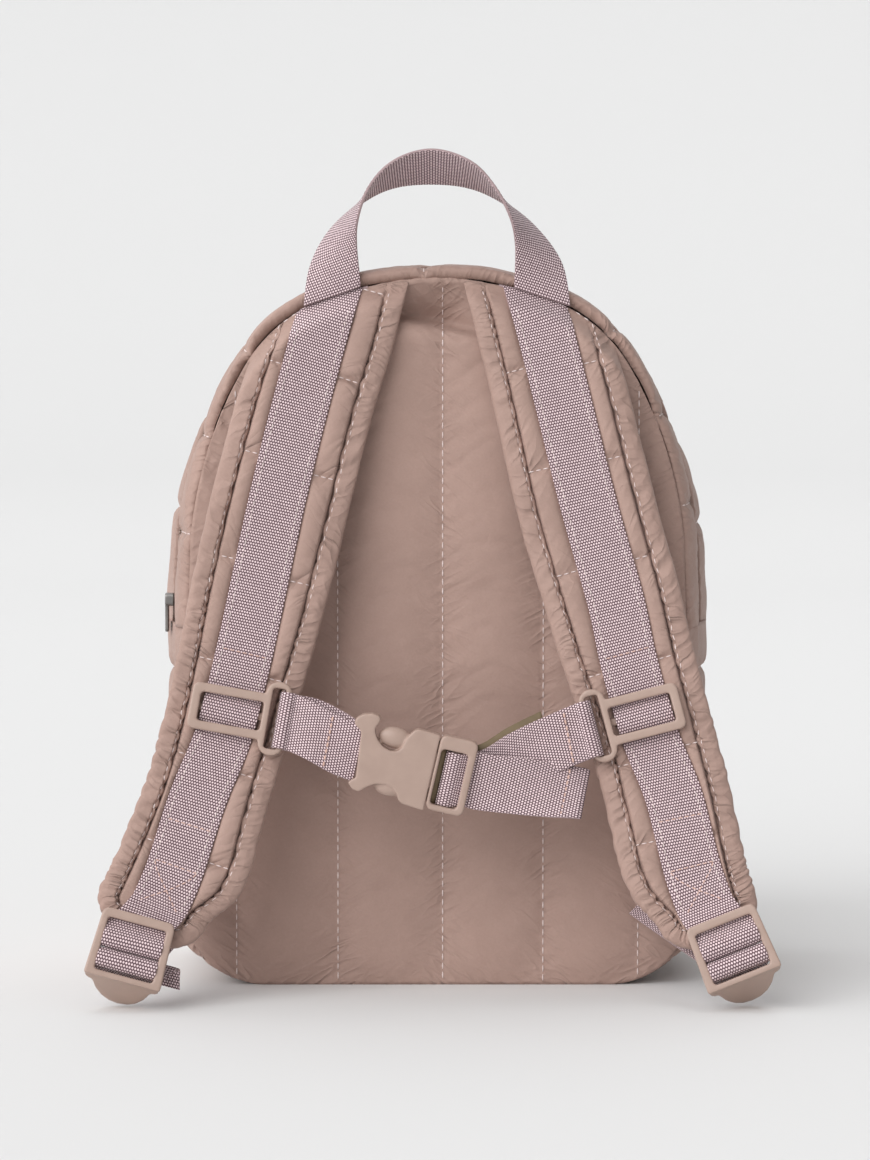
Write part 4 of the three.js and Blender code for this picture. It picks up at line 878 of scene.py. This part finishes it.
def makePad(strap):
    side = strap["side"]
    crosses = {
        sign: [shareAtHeight(strap, z) for z in heights]
        for sign, heights in strapLook["crossStitches"][side].items()
    }
    length = strap["length"]
    hem, end = strapLook["hem"], strapLook["end"]

    def crossing(share, sign):  # distance to the next cross stitch
        return min(abs(share - cross) for cross in crosses[sign]) * length

    def front(spot, share, aside, halves, fade):
        flat = webbingSize["width"] / 2 + 0.1
        off = aside - spot["webbing"]
        sign = 1 if off > 0 else -1
        room = halves[sign] - sign * spot["webbing"] - flat
        past = abs(off) - flat
        if past <= 0:
            return strapLook["front"]
        nearest = crossing(share, sign)
        over = min(past / max(room - strapLook["tuck"], 1), 1)
        pillow = math.sin(math.pi * over) ** 0.4 if over < 1 else 0
        pinch = 1 - 0.8 * math.exp(-(nearest / 1.5) ** 2) - 0.4 * math.exp(-(nearest / 5) ** 2)
        wrinkle = 0.6 * ripple(share * length + aside * 0.6, 6.5, 31 + sign) * over ** 2
        top = strapLook["front"] + fade * pinch * (strapLook["puff"] * pillow + wrinkle)
        beside = smooth(room - past - strapLook["tuck"], -0.3, 1.3)
        return mix(0.9, top, beside)  # falls into a groove beside the hem

    def where(around, station):
        share = min(station, 1)
        around = 0 if around > 2 else around
        spot = strap["at"](share)
        turn = math.radians(strapLook["endTurn"]) * max(station - 1, 0) / 0.06
        widths = halfWidths(strap, spot, share)
        middle = (widths[1] - widths[-1]) / 2
        half = ((widths[1] + widths[-1]) / 2 - hem + strapLook["tuck"]) * math.cos(turn)
        halves = {sign: half + sign * middle for sign in widths}
        ahead = (end - hem + strapLook["tuck"]) * math.sin(turn)
        thick = thickShare(share)
        creasing = 0.0
        if around <= 1:
            aside = middle + mix(half, -half, around)
            sign = 1 if aside > spot["webbing"] else -1
            edge = half - abs(aside - middle)
            creasing = 0.8 * math.exp(-crossing(share, sign) / 5) + 0.9 * math.exp(-edge / 4)
            height = front(spot, share, aside, halves, 1 - smooth(station, 0.9, 1.0)) * thick
        else:
            aside = middle + mix(-half, half, around - 1)
            rim = smooth(abs(aside - middle) / max(half, 1), 0.6, 1)
            height = -strapLook["back"] * thick * (1 - 0.5 * rim)
        point = underSeam(onStrap(spot, aside, height, ahead))
        return point, (aside + 40, station * length), 0.0, creasing

    rims = evenly([0, 0.07], 0.007)
    arounds = rims + evenly([0.07, 0.93], 1 / 44)[1:] + [1 - x for x in reversed(rims[:-1])]
    arounds += evenly([1, 2], 1 / 16)[1:] + [2.1]
    stops = {0, 1}
    for share in crosses[-1] + crosses[1]:
        stops |= {share - 1.4 / length, share, share + 1.4 / length}
    stations = evenly(sorted(stops), 1.8 / length) + evenly([1, 1.06], 0.006)[1:]
    bm = clothGrid(arounds, stations, where)
    closeTube(bm)
    piece = addPiece("strap_pad_cloth_" + side, bm, nylon, ["strap_pad_" + side])
    bm = bmesh.new()
    for sign, shares in crosses.items():
        for share in shares:
            spot = strap["at"](share)
            widths = halfWidths(strap, spot, share)
            halves = {key: half - hem + strapLook["tuck"] for key, half in widths.items()}
            inner = spot["webbing"] + sign * (webbingSize["width"] / 2 + 0.3)
            outer = sign * (halves[sign] - 1.8)
            if sign * (outer - inner) < 3:
                continue
            points = []
            for k in range(13):
                aside = mix(inner, outer, k / 12)
                height = front(spot, share, aside, halves, 1) * thickShare(share)
                points.append(onStrap(spot, aside, height + 0.25))
            sew(bm, points, [spot["out"]] * 13, stitch=2.4, gap=0.9, radius=0.3)
    addThread("strap_pad_thread_" + side, bm)


hemLook = {
    "gather": {"left": {-1: 1.15, 1: 0.7}, "right": {-1: 0.85, 1: 0.95}},
    "wavelength": 8.4, "zigzag": 1.1, "stitchAngle": 2.2, "endRun": 60,
}


def hemSpot(strap, station, angle):  # station runs down the left edge, round the end and up the right edge
    wide, thick = strapLook["hem"] / 2, strapLook["hemThick"] / 2
    if station <= 1:
        sign, spot, ahead, turn = -1, strap["at"](station), 0.0, 0.0
    elif station < 2:
        turn = math.pi * (station - 1)
        sign, spot, ahead = -math.cos(turn), strap["at"](1), math.sin(turn)
    else:
        sign, spot, ahead, turn = 1, strap["at"](3 - station), 0.0, math.pi
    share = min(station, 1) if station < 2 else 3 - station
    away = (spot["across"] * sign + spot["along"] * ahead).normalized()
    widths = halfWidths(strap, spot, share)
    aside = (widths[1] - widths[-1]) / 2 + sign * ((widths[1] + widths[-1]) / 2 - wide)
    centre = onStrap(spot, aside, 0, ahead * (strapLook["end"] - wide))
    run = strap["length"] * min(station, 1)
    run += hemLook["endRun"] * min(max(station - 1, 0), 1) + strap["length"] * max(station - 2, 0)
    looks = hemLook["gather"][strap["side"]]
    amount = mix(looks[-1], looks[1], smooth(station, 1.2, 1.8)) * (0.4 + 0.6 * smooth(share, 0, 0.35))
    seed = 41 + len(strap["side"])
    facing = angle if angle < math.pi else 2 * math.pi - angle
    gathers = crease(run + 2.8 * facing, hemLook["wavelength"], seed)
    gathers += 0.9 * noise.noise(Vector((run * 0.17, facing * 0.8, seed)))
    close = math.exp(-((facing - 1.8) / 0.8) ** 2) if angle < math.pi else 0
    scallop = 0.16 + 0.4 * smooth(share, 0.4, 0.8) * max(math.cos(angle), 0)
    groove = -0.5 * math.exp(-((angle - hemLook["stitchAngle"]) / 0.15) ** 2)
    soft = 0.35 * noise.noise(Vector((run * 0.05, math.cos(angle), seed)))
    swollen = amount * (scallop + 0.55 * close) * gathers + groove + soft
    inside = smooth(angle, 2.3, 2.7) * (1 - smooth(angle, 3.6, 4.2))
    zigzag = hemLook["zigzag"] * crease(run, 8, seed + 9) * inside
    across, up = math.cos(angle), math.sin(angle)
    wideShare = math.copysign(abs(across) ** (0.8 if across > 0 else 0.5), across)
    highShare = math.copysign(abs(up) ** 0.45, up)
    reach = (wide + swollen + zigzag) * wideShare
    rise = (thick + swollen) * highShare * thickShare(share)
    point = underSeam(centre + away * reach + spot["out"] * rise)
    return point, spot["out"], run, away


def makeHem(strap):
    side = strap["side"]

    def where(around, station):
        point, out, run, away = hemSpot(strap, station, around)
        return point, (around * 4.4, run), 0.0, 0.3 + 0.9 * math.exp(-((around - 1.9) / 0.7) ** 2)

    def stationsBetween(first, last):
        step = 0.85 / strap["length"]
        return evenly([first, 1], step) + evenly([1, 2], 0.022)[1:] + evenly([2, last], step)[1:]

    arounds = evenly([0, 1.7], 0.21) + evenly([1.7, 3], 0.1)[1:] + evenly([3, 2 * math.pi], 0.33)[1:]
    bm = clothGrid(arounds, stationsBetween(0, 3), where)
    closeTube(bm)
    piece = addPiece("strap_hem_" + side, bm, nylon, ["strap_binding_" + side])
    points, outs = [], []
    for station in stationsBetween(0.02, 2.98):
        point, out, run, away = hemSpot(strap, station, hemLook["stitchAngle"])
        points.append(point + out * 0.1)
        outs.append((out - away * 0.4).normalized())
    bm = bmesh.new()
    sew(bm, points, outs, stitch=2.6, gap=1.9, radius=0.32)
    addThread("strap_hem_thread_" + side, bm)


# moulded fittings: the solids with their corners worn round
def wearRound(piece, grain, rounds):
    addModifier(piece, "REMESH", mode="VOXEL", voxel_size=grain * 0.001, use_smooth_shade=True)
    addModifier(piece, "SMOOTH", factor=0.5, iterations=rounds)


def mouldedFrom(name, node, material, grain=0.42, rounds=14, reshape=None):
    bm = bmesh.new()
    bm.from_mesh(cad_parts[node].data)
    bmesh.ops.remove_doubles(bm, verts=bm.verts, dist=2e-6)
    if reshape:
        reshape(bm)
    wearRound(addPiece(name, bm, material, [node]), grain, rounds)


def fittingBasis(tilt, lean):
    across = Vector((math.cos(math.radians(tilt)), 0, math.sin(math.radians(tilt))))
    out = Vector((0, -math.cos(math.radians(lean)), math.sin(math.radians(lean))))
    out = (out - across * out.dot(across)).normalized()
    return across, out.cross(across).normalized(), out


def onFitting(origin, basis, x, y, z):
    return origin + basis[0] * x + basis[1] * y + basis[2] * z


def placeOn(vert, origin, basis):  # across and up a fitting, in millimetres
    return ((vert.co - toFrame(origin)).dot(axis) * 1000 for axis in basis[:2])


def barTurn(along, barWidth, low, high, start, stop, loose=0.0):  # webbing round a bar, along and up
    reach = barWidth / 2 + webbingSize["gap"] + webbingSize["thickness"] / 2 + 0.8 + loose * 0.6
    rise = (high - low) / 2 + webbingSize["gap"] + webbingSize["thickness"] / 2 + 0.4 + loose * 1.6
    count = math.ceil(abs(stop - start) / 20)
    turn = []
    for k in range(count + 1):
        angle = math.radians(mix(start, stop, k / count))
        turn.append((along + reach * math.cos(angle), (low + high) / 2 + rise * math.sin(angle)))
    return turn


sliderLook = {
    "height": 21, "bar": 4, "thickness": 4.6, "barHigh": 0.9, "padPuff": 1.4,
    "ringLow": 0.5, "ringBar": 3, "ringMiddle": 24.7, "clear": 12,
    "left": {"z": 128, "aside": 0.2, "tilt": -10, "ring": 1},
    "right": {"z": 127, "aside": -0.8, "tilt": 14.5, "ring": -1},
}
lockLook = {
    "bars": (-12.6, -21.8), "barWidth": 3.4, "barLow": 0.5, "barHigh": 2.7, "topBar": 6, "passage": 2.2,
    "lift": 2.6, "window": (12.9, 2), "step": (-30.3, -30.9), "drop": 2.4, "slope": 1.3,
    "roll": 0.6, "wide": 1.06,
    "left": {"aside": -6, "ahead": 5.8, "tilt": -15, "lean": 15},
    "right": {"aside": 4, "ahead": 5, "tilt": 22, "lean": 15},
}
strapEnd = 0.985  # share of the pad on which its webbing lies


def lockTurn(bar, start, stop):
    low, high = lockLook["barLow"], lockLook["barHigh"]
    return barTurn(lockLook["bars"][bar], lockLook["barWidth"], low, high, start, stop, lockLook["roll"])


webbingSewing = {
    "edgeStitch": 2.85, "box": (60.2, 36.5), "crossRows": {"left": (154, 78), "right": (154, 81)},
}


def makeStrapWebbing(strap, sliderShare, lockOrigin, lockBasis):
    side, length = strap["side"], strap["length"]
    onPad = strapLook["front"] + webbingSize["gap"] + webbingSize["thickness"] / 2
    halfBulge = (sliderLook["height"] / 2 - sliderLook["bar"] + 0.4) / length
    bulge = sliderLook["padPuff"] + 2 * webbingSize["gap"] + sliderLook["barHigh"]
    rows = []
    for share in evenly([0, sliderShare, strapEnd], 4 / length):
        spot = strap["at"](share)
        near = min(abs(share - sliderShare) / halfBulge, 1)
        rise = bulge * smooth(1 - near, 0, 0.6)
        rows.append((onStrap(spot, spot["webbing"], onPad + rise), spot["across"]))
    underTop = lockLook["passage"] - 2 * webbingSize["gap"] - webbingSize["thickness"] / 2
    offset = -lockLook[side]["aside"]
    last = rows[-1][1]
    for x, y, z, turn in ((offset * 0.6, 0, underTop - 0.6, 0.35), (offset * 0.1, -4, underTop, 0.9)):
        across = last.lerp(lockBasis[0], turn).normalized()
        rows.append((onFitting(lockOrigin, lockBasis, x, y, z), across, mix(1, lockLook["wide"], turn)))
    for y, z in lockTurn(0, 50, 285):
        rows.append((onFitting(lockOrigin, lockBasis, 0, y, z), lockBasis[0], lockLook["wide"]))
    makeRibbon("strap_webbing_cloth_" + side, "strap_webbing_" + side, ribbonRows(rows))

    def sewn(share, aside):
        spot = strap["at"](share)
        return underSeam(onStrap(spot, spot["webbing"] + aside, onPad + 0.78))

    pale, warm = bmesh.new(), bmesh.new()
    edge = webbingSize["width"] / 2 - webbingSewing["edgeStitch"]
    clear = sliderLook["clear"] / length
    spans = [(0.03, sliderShare - clear), (sliderShare + clear, strapEnd)]
    for aside in (-edge, edge):
        for low, high in spans:
            shares = evenly([low, high], 1.5 / length)
            points = [sewn(share, aside) for share in shares]
            outs = [strap["at"](share)["out"] for share in shares]
            sew(pale, points, outs, stitch=2.2, gap=0.8, radius=0.26)
    high, low = (shareAtHeight(strap, z) for z in webbingSewing["box"])
    lines = [((high, -edge), (high, edge)), ((high, -edge), (low, edge)), ((high, edge), (low, -edge))]
    for z in webbingSewing["crossRows"][side]:
        share = shareAtHeight(strap, z)
        lines.append(((share, -edge), (share, edge)))
    for first, last in lines:
        steps = [k / 16 for k in range(17)]
        points = [sewn(mix(first[0], last[0], t), mix(first[1], last[1], t)) for t in steps]
        sew(warm, points, [strap["at"](first[0])["out"]] * 17, stitch=2.2, gap=0.7, radius=0.28)
    addThread("strap_webbing_thread_" + side, pale)
    addThread("strap_box_thread_" + side, warm, warmThread)


# lower webbing: its sewn end on the back panel, and the steps of its free tail inwards, away and up
adjusterLook = {
    "left": {
        "x": 110, "z": 50, "spread": 45,
        "tail": ((0, 5, -3), (6, 3, 3), (5, 2, 2.5), (0, 0.8, -4), (0, 0.4, -5)),
    },
    "right": {"x": 97, "z": 42, "spread": 45, "tail": ((0, 5, -3), (0, 4, -3))},
    "stand": 4.6,
}


def makeAdjuster(strap, sign, lockOrigin, lockBasis):
    side = strap["side"]
    anchor = adjusterLook[side]
    spread = math.radians(anchor["spread"])
    anchorAcross = Vector((math.cos(spread), 0, sign * math.sin(spread)))
    start = Vector((sign * anchor["x"], -adjusterLook["stand"], anchor["z"]))
    turn = lockTurn(1, -5, 205)
    firstY, firstZ = turn[0]
    behind = onFitting(lockOrigin, lockBasis, 0, firstY - 1.6, firstZ - 6)
    rows = [(start, anchorAcross)]
    for share in (0.25, 0.5, 0.75, 1):
        rows.append((start.lerp(behind, share), anchorAcross.lerp(lockBasis[0], share)))
    rows.append((onFitting(lockOrigin, lockBasis, 0, firstY - 0.4, firstZ - 2.6), lockBasis[0]))
    rows += [(onFitting(lockOrigin, lockBasis, 0, y, z), lockBasis[0], lockLook["wide"]) for y, z in turn]
    for inward, away, drop in anchor["tail"]:
        rows.append((rows[-1][0] + Vector((-sign * inward, away, drop)), lockBasis[0]))
    makeRibbon("lower_webbing_cloth_" + side, "lower_webbing_" + side, ribbonRows(rows))


fittings = {}
for side, sign in (("left", -1), ("right", 1)):
    strap = readStrap(side)
    makePad(strap)
    makeHem(strap)
    sliderShare = shareAtHeight(strap, sliderLook[side]["z"])
    spot = strap["at"](sliderShare)
    sliderBasis = fittingBasis(sliderLook[side]["tilt"], math.degrees(math.asin(spot["out"].z)))
    sliderAside = spot["webbing"] + sliderLook[side]["aside"]
    sliderRise = strapLook["front"] + sliderLook["padPuff"] + 2 * webbingSize["gap"]
    sliderOrigin = onStrap(spot, sliderAside, sliderRise)
    mouldedFrom("strap_slider_frame_" + side, "strap_slider_" + side, plastic)
    lock = lockLook[side]
    last = strap["at"](1)
    lockBasis = fittingBasis(lock["tilt"], lock["lean"])
    lockRise = strapLook["front"] + lockLook["lift"]
    lockOrigin = onStrap(last, last["webbing"] + lock["aside"], lockRise, lock["ahead"])

    def slopeLip(bm):  # a slim top bar, and a thumb lip that drops a step and falls away from the frame
        for cut in lockLook["step"]:
            spot = toFrame(onFitting(lockOrigin, lockBasis, 0, cut, 0))
            parts = bm.verts[:] + bm.edges[:] + bm.faces[:]
            bmesh.ops.bisect_plane(bm, geom=parts, plane_co=spot, plane_no=lockBasis[1])
        half, higher = lockLook["window"]
        for vert in bm.verts:
            x, y = placeOn(vert, lockOrigin, lockBasis)
            past = lockLook["step"][0] - 0.2 - y
            if past > 0:
                vert.co.y += (lockLook["drop"] + lockLook["slope"] * past) * 0.001
            elif abs(x) < half + 0.6 and -lockLook["topBar"] - 1.4 < y < -lockLook["topBar"] + 0.2:
                vert.co += lockBasis[1] * higher * 0.001

    mouldedFrom("ladder_lock_frame_" + side, "ladder_lock_" + side, plastic, rounds=10, reshape=slopeLip)
    makeStrapWebbing(strap, sliderShare, lockOrigin, lockBasis)
    makeAdjuster(strap, sign, lockOrigin, lockBasis)
    fittings[side] = (sliderOrigin, sliderBasis)
    print("strap made,", side)


# chest strap and its fastened buckle
buckleLook = {
    "middle": (-8.5, -50, 105), "tilt": -13, "left": -27.5, "right": 24, "bar": (13.3, 16.7, -1.6, 0.6),
    "window": {"from": 7.2, "to": 21.5, "low": 11.8, "high": 14, "topDrop": 2.8, "footDrop": 0.8},
}
receiverLook = {  # outline from the upper ear clockwise, and the two release buttons
    "outline": (
        (-32.1, 13.7), (-31.3, 15.9), (-28.9, 18), (-24.6, 19.2), (-21.9, 18.7), (-20.9, 17.3),
        (-21.4, 15.2), (-22.3, 13.4), (-22, 11.2), (-20.1, 8.1), (-16.9, 5.6), (-13.5, 4.7),
        (-10.7, 5.2), (-8.9, 7.4), (-8.1, 10.8), (-6.8, 13.7), (-5, 16.2), (-3.2, 17),
        (6.5, 16.4), (6.5, -18), (-3.4, -17.2), (-5.4, -16), (-6.7, -13.5), (-9.2, -11.1),
        (-12, -10.3), (-16.3, -11), (-19.2, -12.5), (-21.4, -14.3), (-23.3, -16.2), (-26.4, -15.8),
        (-28.9, -13.4), (-27.6, -11.6), (-26, -10.5), (-28.1, 9.5), (-29, 11), (-31.2, 12.2),
    ),
    "buttons": (((-13, 10.6, 0), (7.4, 4.8, 3.4)), ((-10.8, -11.2, 0), (7, 4.4, 3.2))),
    "thickness": 8, "grain": 0.4, "rounds": 16,
}
chestLook = {
    "layer": 0.95, "tail": (50, 5, 1.6, -34), "passage": 1.3, "drop": -2, "narrow": 0.95,
    "lining": {"above": 3, "width": 25.2, "thickness": 0.9},
}
buckleOrigin = Vector(buckleLook["middle"])
buckleBasis = fittingBasis(buckleLook["tilt"], 0)
buckleTurn = Matrix(buckleBasis).transposed().to_4x4()


def onBuckle(x, y, z):
    return onFitting(buckleOrigin, buckleBasis, x, y, z)


def makeReceiver():
    bm = bmesh.new()
    half = receiverLook["thickness"] / 2
    rim = [bm.verts.new(toFrame(onBuckle(x, y, -half))) for x, y in receiverLook["outline"]]
    grown = bmesh.ops.extrude_face_region(bm, geom=[bm.faces.new(rim)])["geom"]
    lifted = [item for item in grown if isinstance(item, bmesh.types.BMVert)]
    bmesh.ops.translate(bm, verts=lifted, vec=buckleBasis[2] * receiverLook["thickness"] * 0.001)
    bmesh.ops.recalc_face_normals(bm, faces=bm.faces)
    for middle, size in receiverLook["buttons"]:
        stretch = Matrix.Diagonal((*(axis * 0.001 for axis in size), 1))
        place = Matrix.Translation(toFrame(onBuckle(*middle))) @ buckleTurn @ stretch
        bmesh.ops.create_uvsphere(bm, u_segments=24, v_segments=14, radius=1, matrix=place)
    piece = addPiece("buckle_receiver_shell", bm, plastic, ["buckle_receiver"])
    wearRound(piece, receiverLook["grain"], receiverLook["rounds"])


def thickenTop(bm):  # the latch's top bar is the deeper one
    window = buckleLook["window"]
    for vert in bm.verts:
        x, y = placeOn(vert, buckleOrigin, buckleBasis)
        if window["from"] < x < window["to"] and window["low"] < abs(y) < window["high"]:
            vert.co -= buckleBasis[1] * window["topDrop" if y > 0 else "footDrop"] * 0.001


makeReceiver()
mouldedFrom("buckle_latch_frame", "buckle_latch", plastic, reshape=thickenTop)


def shortenPull(bm):
    top = max(vert.co.z for vert in bm.verts)
    for vert in bm.verts:
        vert.co.z = top - (top - vert.co.z) * zipLook["pull"]


mouldedFrom("zip_slider_body", "zip_slider", castMetal, grain=0.3, rounds=4, reshape=shortenPull)


def ringTurn(side):
    origin, basis = fittings[side]
    ring = sliderLook[side]["ring"]
    turn = barTurn(0, sliderLook["ringBar"], sliderLook["ringLow"], sliderLook["thickness"], 40, 320)
    return [(onFitting(origin, basis, ring * (sliderLook["ringMiddle"] + x), 0, z), basis[1]) for x, z in turn]


def chestRow(x, y, z, twist=0.0):
    across = Matrix.Rotation(math.radians(twist), 3, buckleBasis[0]) @ buckleBasis[1]
    return onBuckle(x, y, z), across


def rowsTowards(first, last):
    rows = []
    for t in (0, 0.35, 0.7):
        across = first[1].lerp(last[1], min(1, t * 1.6)).normalized()
        rows.append((first[0].lerp(last[0], t), across))
    return rows


def sewAcross(name, first, last, share):  # one row of thread across the webbing
    centre, across = first[0].lerp(last[0], share), first[1].lerp(last[1], share).normalized()
    out = (last[0] - first[0]).normalized().cross(across)
    if out.y > 0:
        out.negate()
    points = [centre + across * mix(-12, 12, k / 12) + out for k in range(13)]
    bm = bmesh.new()
    sew(bm, points, [out] * 13, stitch=2.3, gap=0.6, radius=0.5)
    addThread(name, bm, warmThread)


def makeChestLeft():
    end, layer = buckleLook["left"] + 0.7, chestLook["layer"]
    turn = ringTurn("left")
    near = rowsTowards(chestRow(end, 0, layer), turn[0])
    far = rowsTowards(chestRow(end, 0, -layer), turn[-1])
    for rows, spread, outward in ((near, (-0.6, 0.2), (0.8, 1.4)), (far, (1.8, 2.2), (-2.2, -2.6))):
        for i in (1, 2):  # the two layers lie apart halfway
            centre, across = rows[i]
            rows[i] = (centre + across * spread[i - 1] + buckleBasis[2] * outward[i - 1], across)
    makeRibbon("chest_strap_cloth_left", "chest_strap_left", ribbonRows(near + turn + far[::-1]))
    sewAcross("chest_thread_left", near[1], near[2], 0.27)


def makeChestRight():
    past = buckleLook["right"] + 0.3
    length, droop, lift, twist = chestLook["tail"]
    layer = chestLook["passage"] - 0.3 - webbingSize["thickness"] / 2
    left, right, low, high = buckleLook["bar"]
    turn = barTurn((left + right) / 2, right - left, low, high, 50, 270)
    under = turn[-1][1]
    rows = [
        chestRow(past + length - 13, droop * 0.75, layer + lift - 1.9, twist * 0.8),
        chestRow(past + length - 1, droop, layer + lift - 1.7, twist),
        chestRow(past + length + 0.4, droop, layer + lift - 0.8, twist),
        chestRow(past + length - 1, droop, layer + lift, twist),
        chestRow(past + length / 2, droop / 2, layer + lift, twist / 3),
        chestRow(past + 4, 0, layer + 0.2), chestRow(past - 3.4, 0, layer),
    ]
    rows += [(*chestRow(x, chestLook["drop"], z), chestLook["narrow"]) for x, z in turn]
    ring = ringTurn("right")
    strip = rowsTowards(chestRow(past, 0, under), ring[0])
    sewAcross("chest_thread_tail", rows[4], rows[3], 0.7)
    rows += strip + ring
    rows += rowsTowards(chestRow(past, 0, under - 2), ring[-1])[:0:-1]
    makeRibbon("chest_strap_cloth_right", "chest_strap_right", ribbonRows(rows))
    sewAcross("chest_thread_right", strip[0], ring[0], 0.87)
    edge = [chestRow(6.9, -1.6, 1), chestRow(8.8, -1.6, 1.1), chestRow(10.4, -1.4, -0.6)]
    edge += [chestRow(11.6, -1, under - 1.2), chestRow(past - 6, 0.4, under - 1.4)]
    backing = chestLook["lining"]
    edge += [(centre + across * backing["above"] - buckleBasis[2] * 1.2, across) for centre, across in strip]
    edge = ribbonRows(edge)

    def where(aside, index):
        centre, across = edge[int(index)]
        return centre + across * aside, (aside, index), 0.0

    half = backing["width"] / 2
    bm = clothGrid(evenly([-half, half], 4.2), list(range(len(edge))), where)
    piece = addPiece("chest_strap_lining", bm, lining)
    addModifier(piece, "SOLIDIFY", thickness=backing["thickness"] * 0.001, offset=0)


makeChestLeft()
makeChestRight()
print("chest strap made")


# floor, light and camera
stageLook = {  # lengths in metres
    "halfWidth": 8, "length": 16, "front": 5, "edge": 20, "edgeRise": 2, "bendAt": 4, "bendRadius": 2.5,
    "floor": (0.745, 0.745, 0.745), "backdrop": (0.692, 0.692, 0.692), "paleFrom": 0.16, "world": 0.32,
    "key": {"energy": 2.0, "softness": 52, "aim": (0.47, 0.70, -0.52)},  # from the upper left, in front
    "side": {"energy": 1.3, "softness": 70, "aim": (0.90, 0.15, -0.40)},
    "above": {"energy": 0.9, "softness": 60, "aim": (0.05, -0.30, -0.95)},
}


def makeStage():  # floor that bends up into a backdrop
    bm = bmesh.new()
    bmesh.ops.create_grid(bm, x_segments=1, y_segments=40, size=1)
    bendAt, radius = stageLook["bendAt"], stageLook["bendRadius"]
    for vert in bm.verts:
        edge = vert.co.y < -0.99  # behind the camera the floor rises gently to its front edge
        run = (vert.co.y + 1) / 2 * stageLook["length"] - stageLook["edge" if edge else "front"]
        bend = min(max(run - bendAt, 0) / radius, math.pi / 2)
        rise = stageLook["edgeRise"] if edge else max(run - bendAt - radius * math.pi / 2, 0)
        y, z = min(run, bendAt) + radius * math.sin(bend), radius * (1 - math.cos(bend)) + rise
        vert.co = (vert.co.x * stageLook["halfWidth"], y, z)
    mesh = bpy.data.meshes.new("floor")
    bm.to_mesh(mesh)
    bm.free()
    mesh.shade_smooth()
    floor = bpy.data.objects.new("floor", mesh)
    bpy.context.collection.objects.link(floor)
    material, tree, shader, coords = startMaterial("paleFloor")
    height = addNode(tree, "ShaderNodeSeparateXYZ", [(0, coords.outputs["Object"])]).outputs[2]
    rise = ranged(tree, height, 0, stageLook["paleFrom"], 0, 1)
    colour = blendColour(tree, rise, stageLook["floor"], stageLook["backdrop"])
    tree.links.new(colour, shader.inputs["Base Color"])
    shader.inputs["Roughness"].default_value = 0.95
    shader.inputs["Specular IOR Level"].default_value = 0.1
    mesh.materials.append(material)
    world = bpy.data.worlds.new("studio")
    world.use_nodes = True
    background = world.node_tree.nodes["Background"]
    background.inputs["Color"].default_value = (1, 1, 1, 1)
    background.inputs["Strength"].default_value = stageLook["world"]
    bpy.context.scene.world = world


def addLight(name, energy, softness, aim):
    light = bpy.data.lights.new(name, "SUN")
    light.energy = energy
    light.angle = math.radians(softness)
    lamp = bpy.data.objects.new(name, light)
    lamp.rotation_mode = "QUATERNION"
    lamp.rotation_quaternion = Vector(aim).to_track_quat("-Z", "Y")
    bpy.context.collection.objects.link(lamp)


cameraLook = {"lens": 108.7, "sensor": 36, "near": 0.05, "far": 120, "place": (-1, -1600, 260), "tilt": 2.65}


def makeCamera():
    data = bpy.data.cameras.new("photoCamera")
    data.lens = cameraLook["lens"]
    data.sensor_width = cameraLook["sensor"]
    data.clip_start = cameraLook["near"]
    data.clip_end = cameraLook["far"]
    camera = bpy.data.objects.new("photoCamera", data)
    camera.location = toFrame(Vector(cameraLook["place"]))
    camera.rotation_euler = (math.radians(90 - cameraLook["tilt"]), 0, 0)
    bpy.context.collection.objects.link(camera)
    bpy.context.scene.camera = camera


makeStage()
for name in ("key", "side", "above"):
    addLight(name + "Light", **stageLook[name])
makeCamera()
bpy.context.scene.view_settings.view_transform = "Standard"
print("stage set")
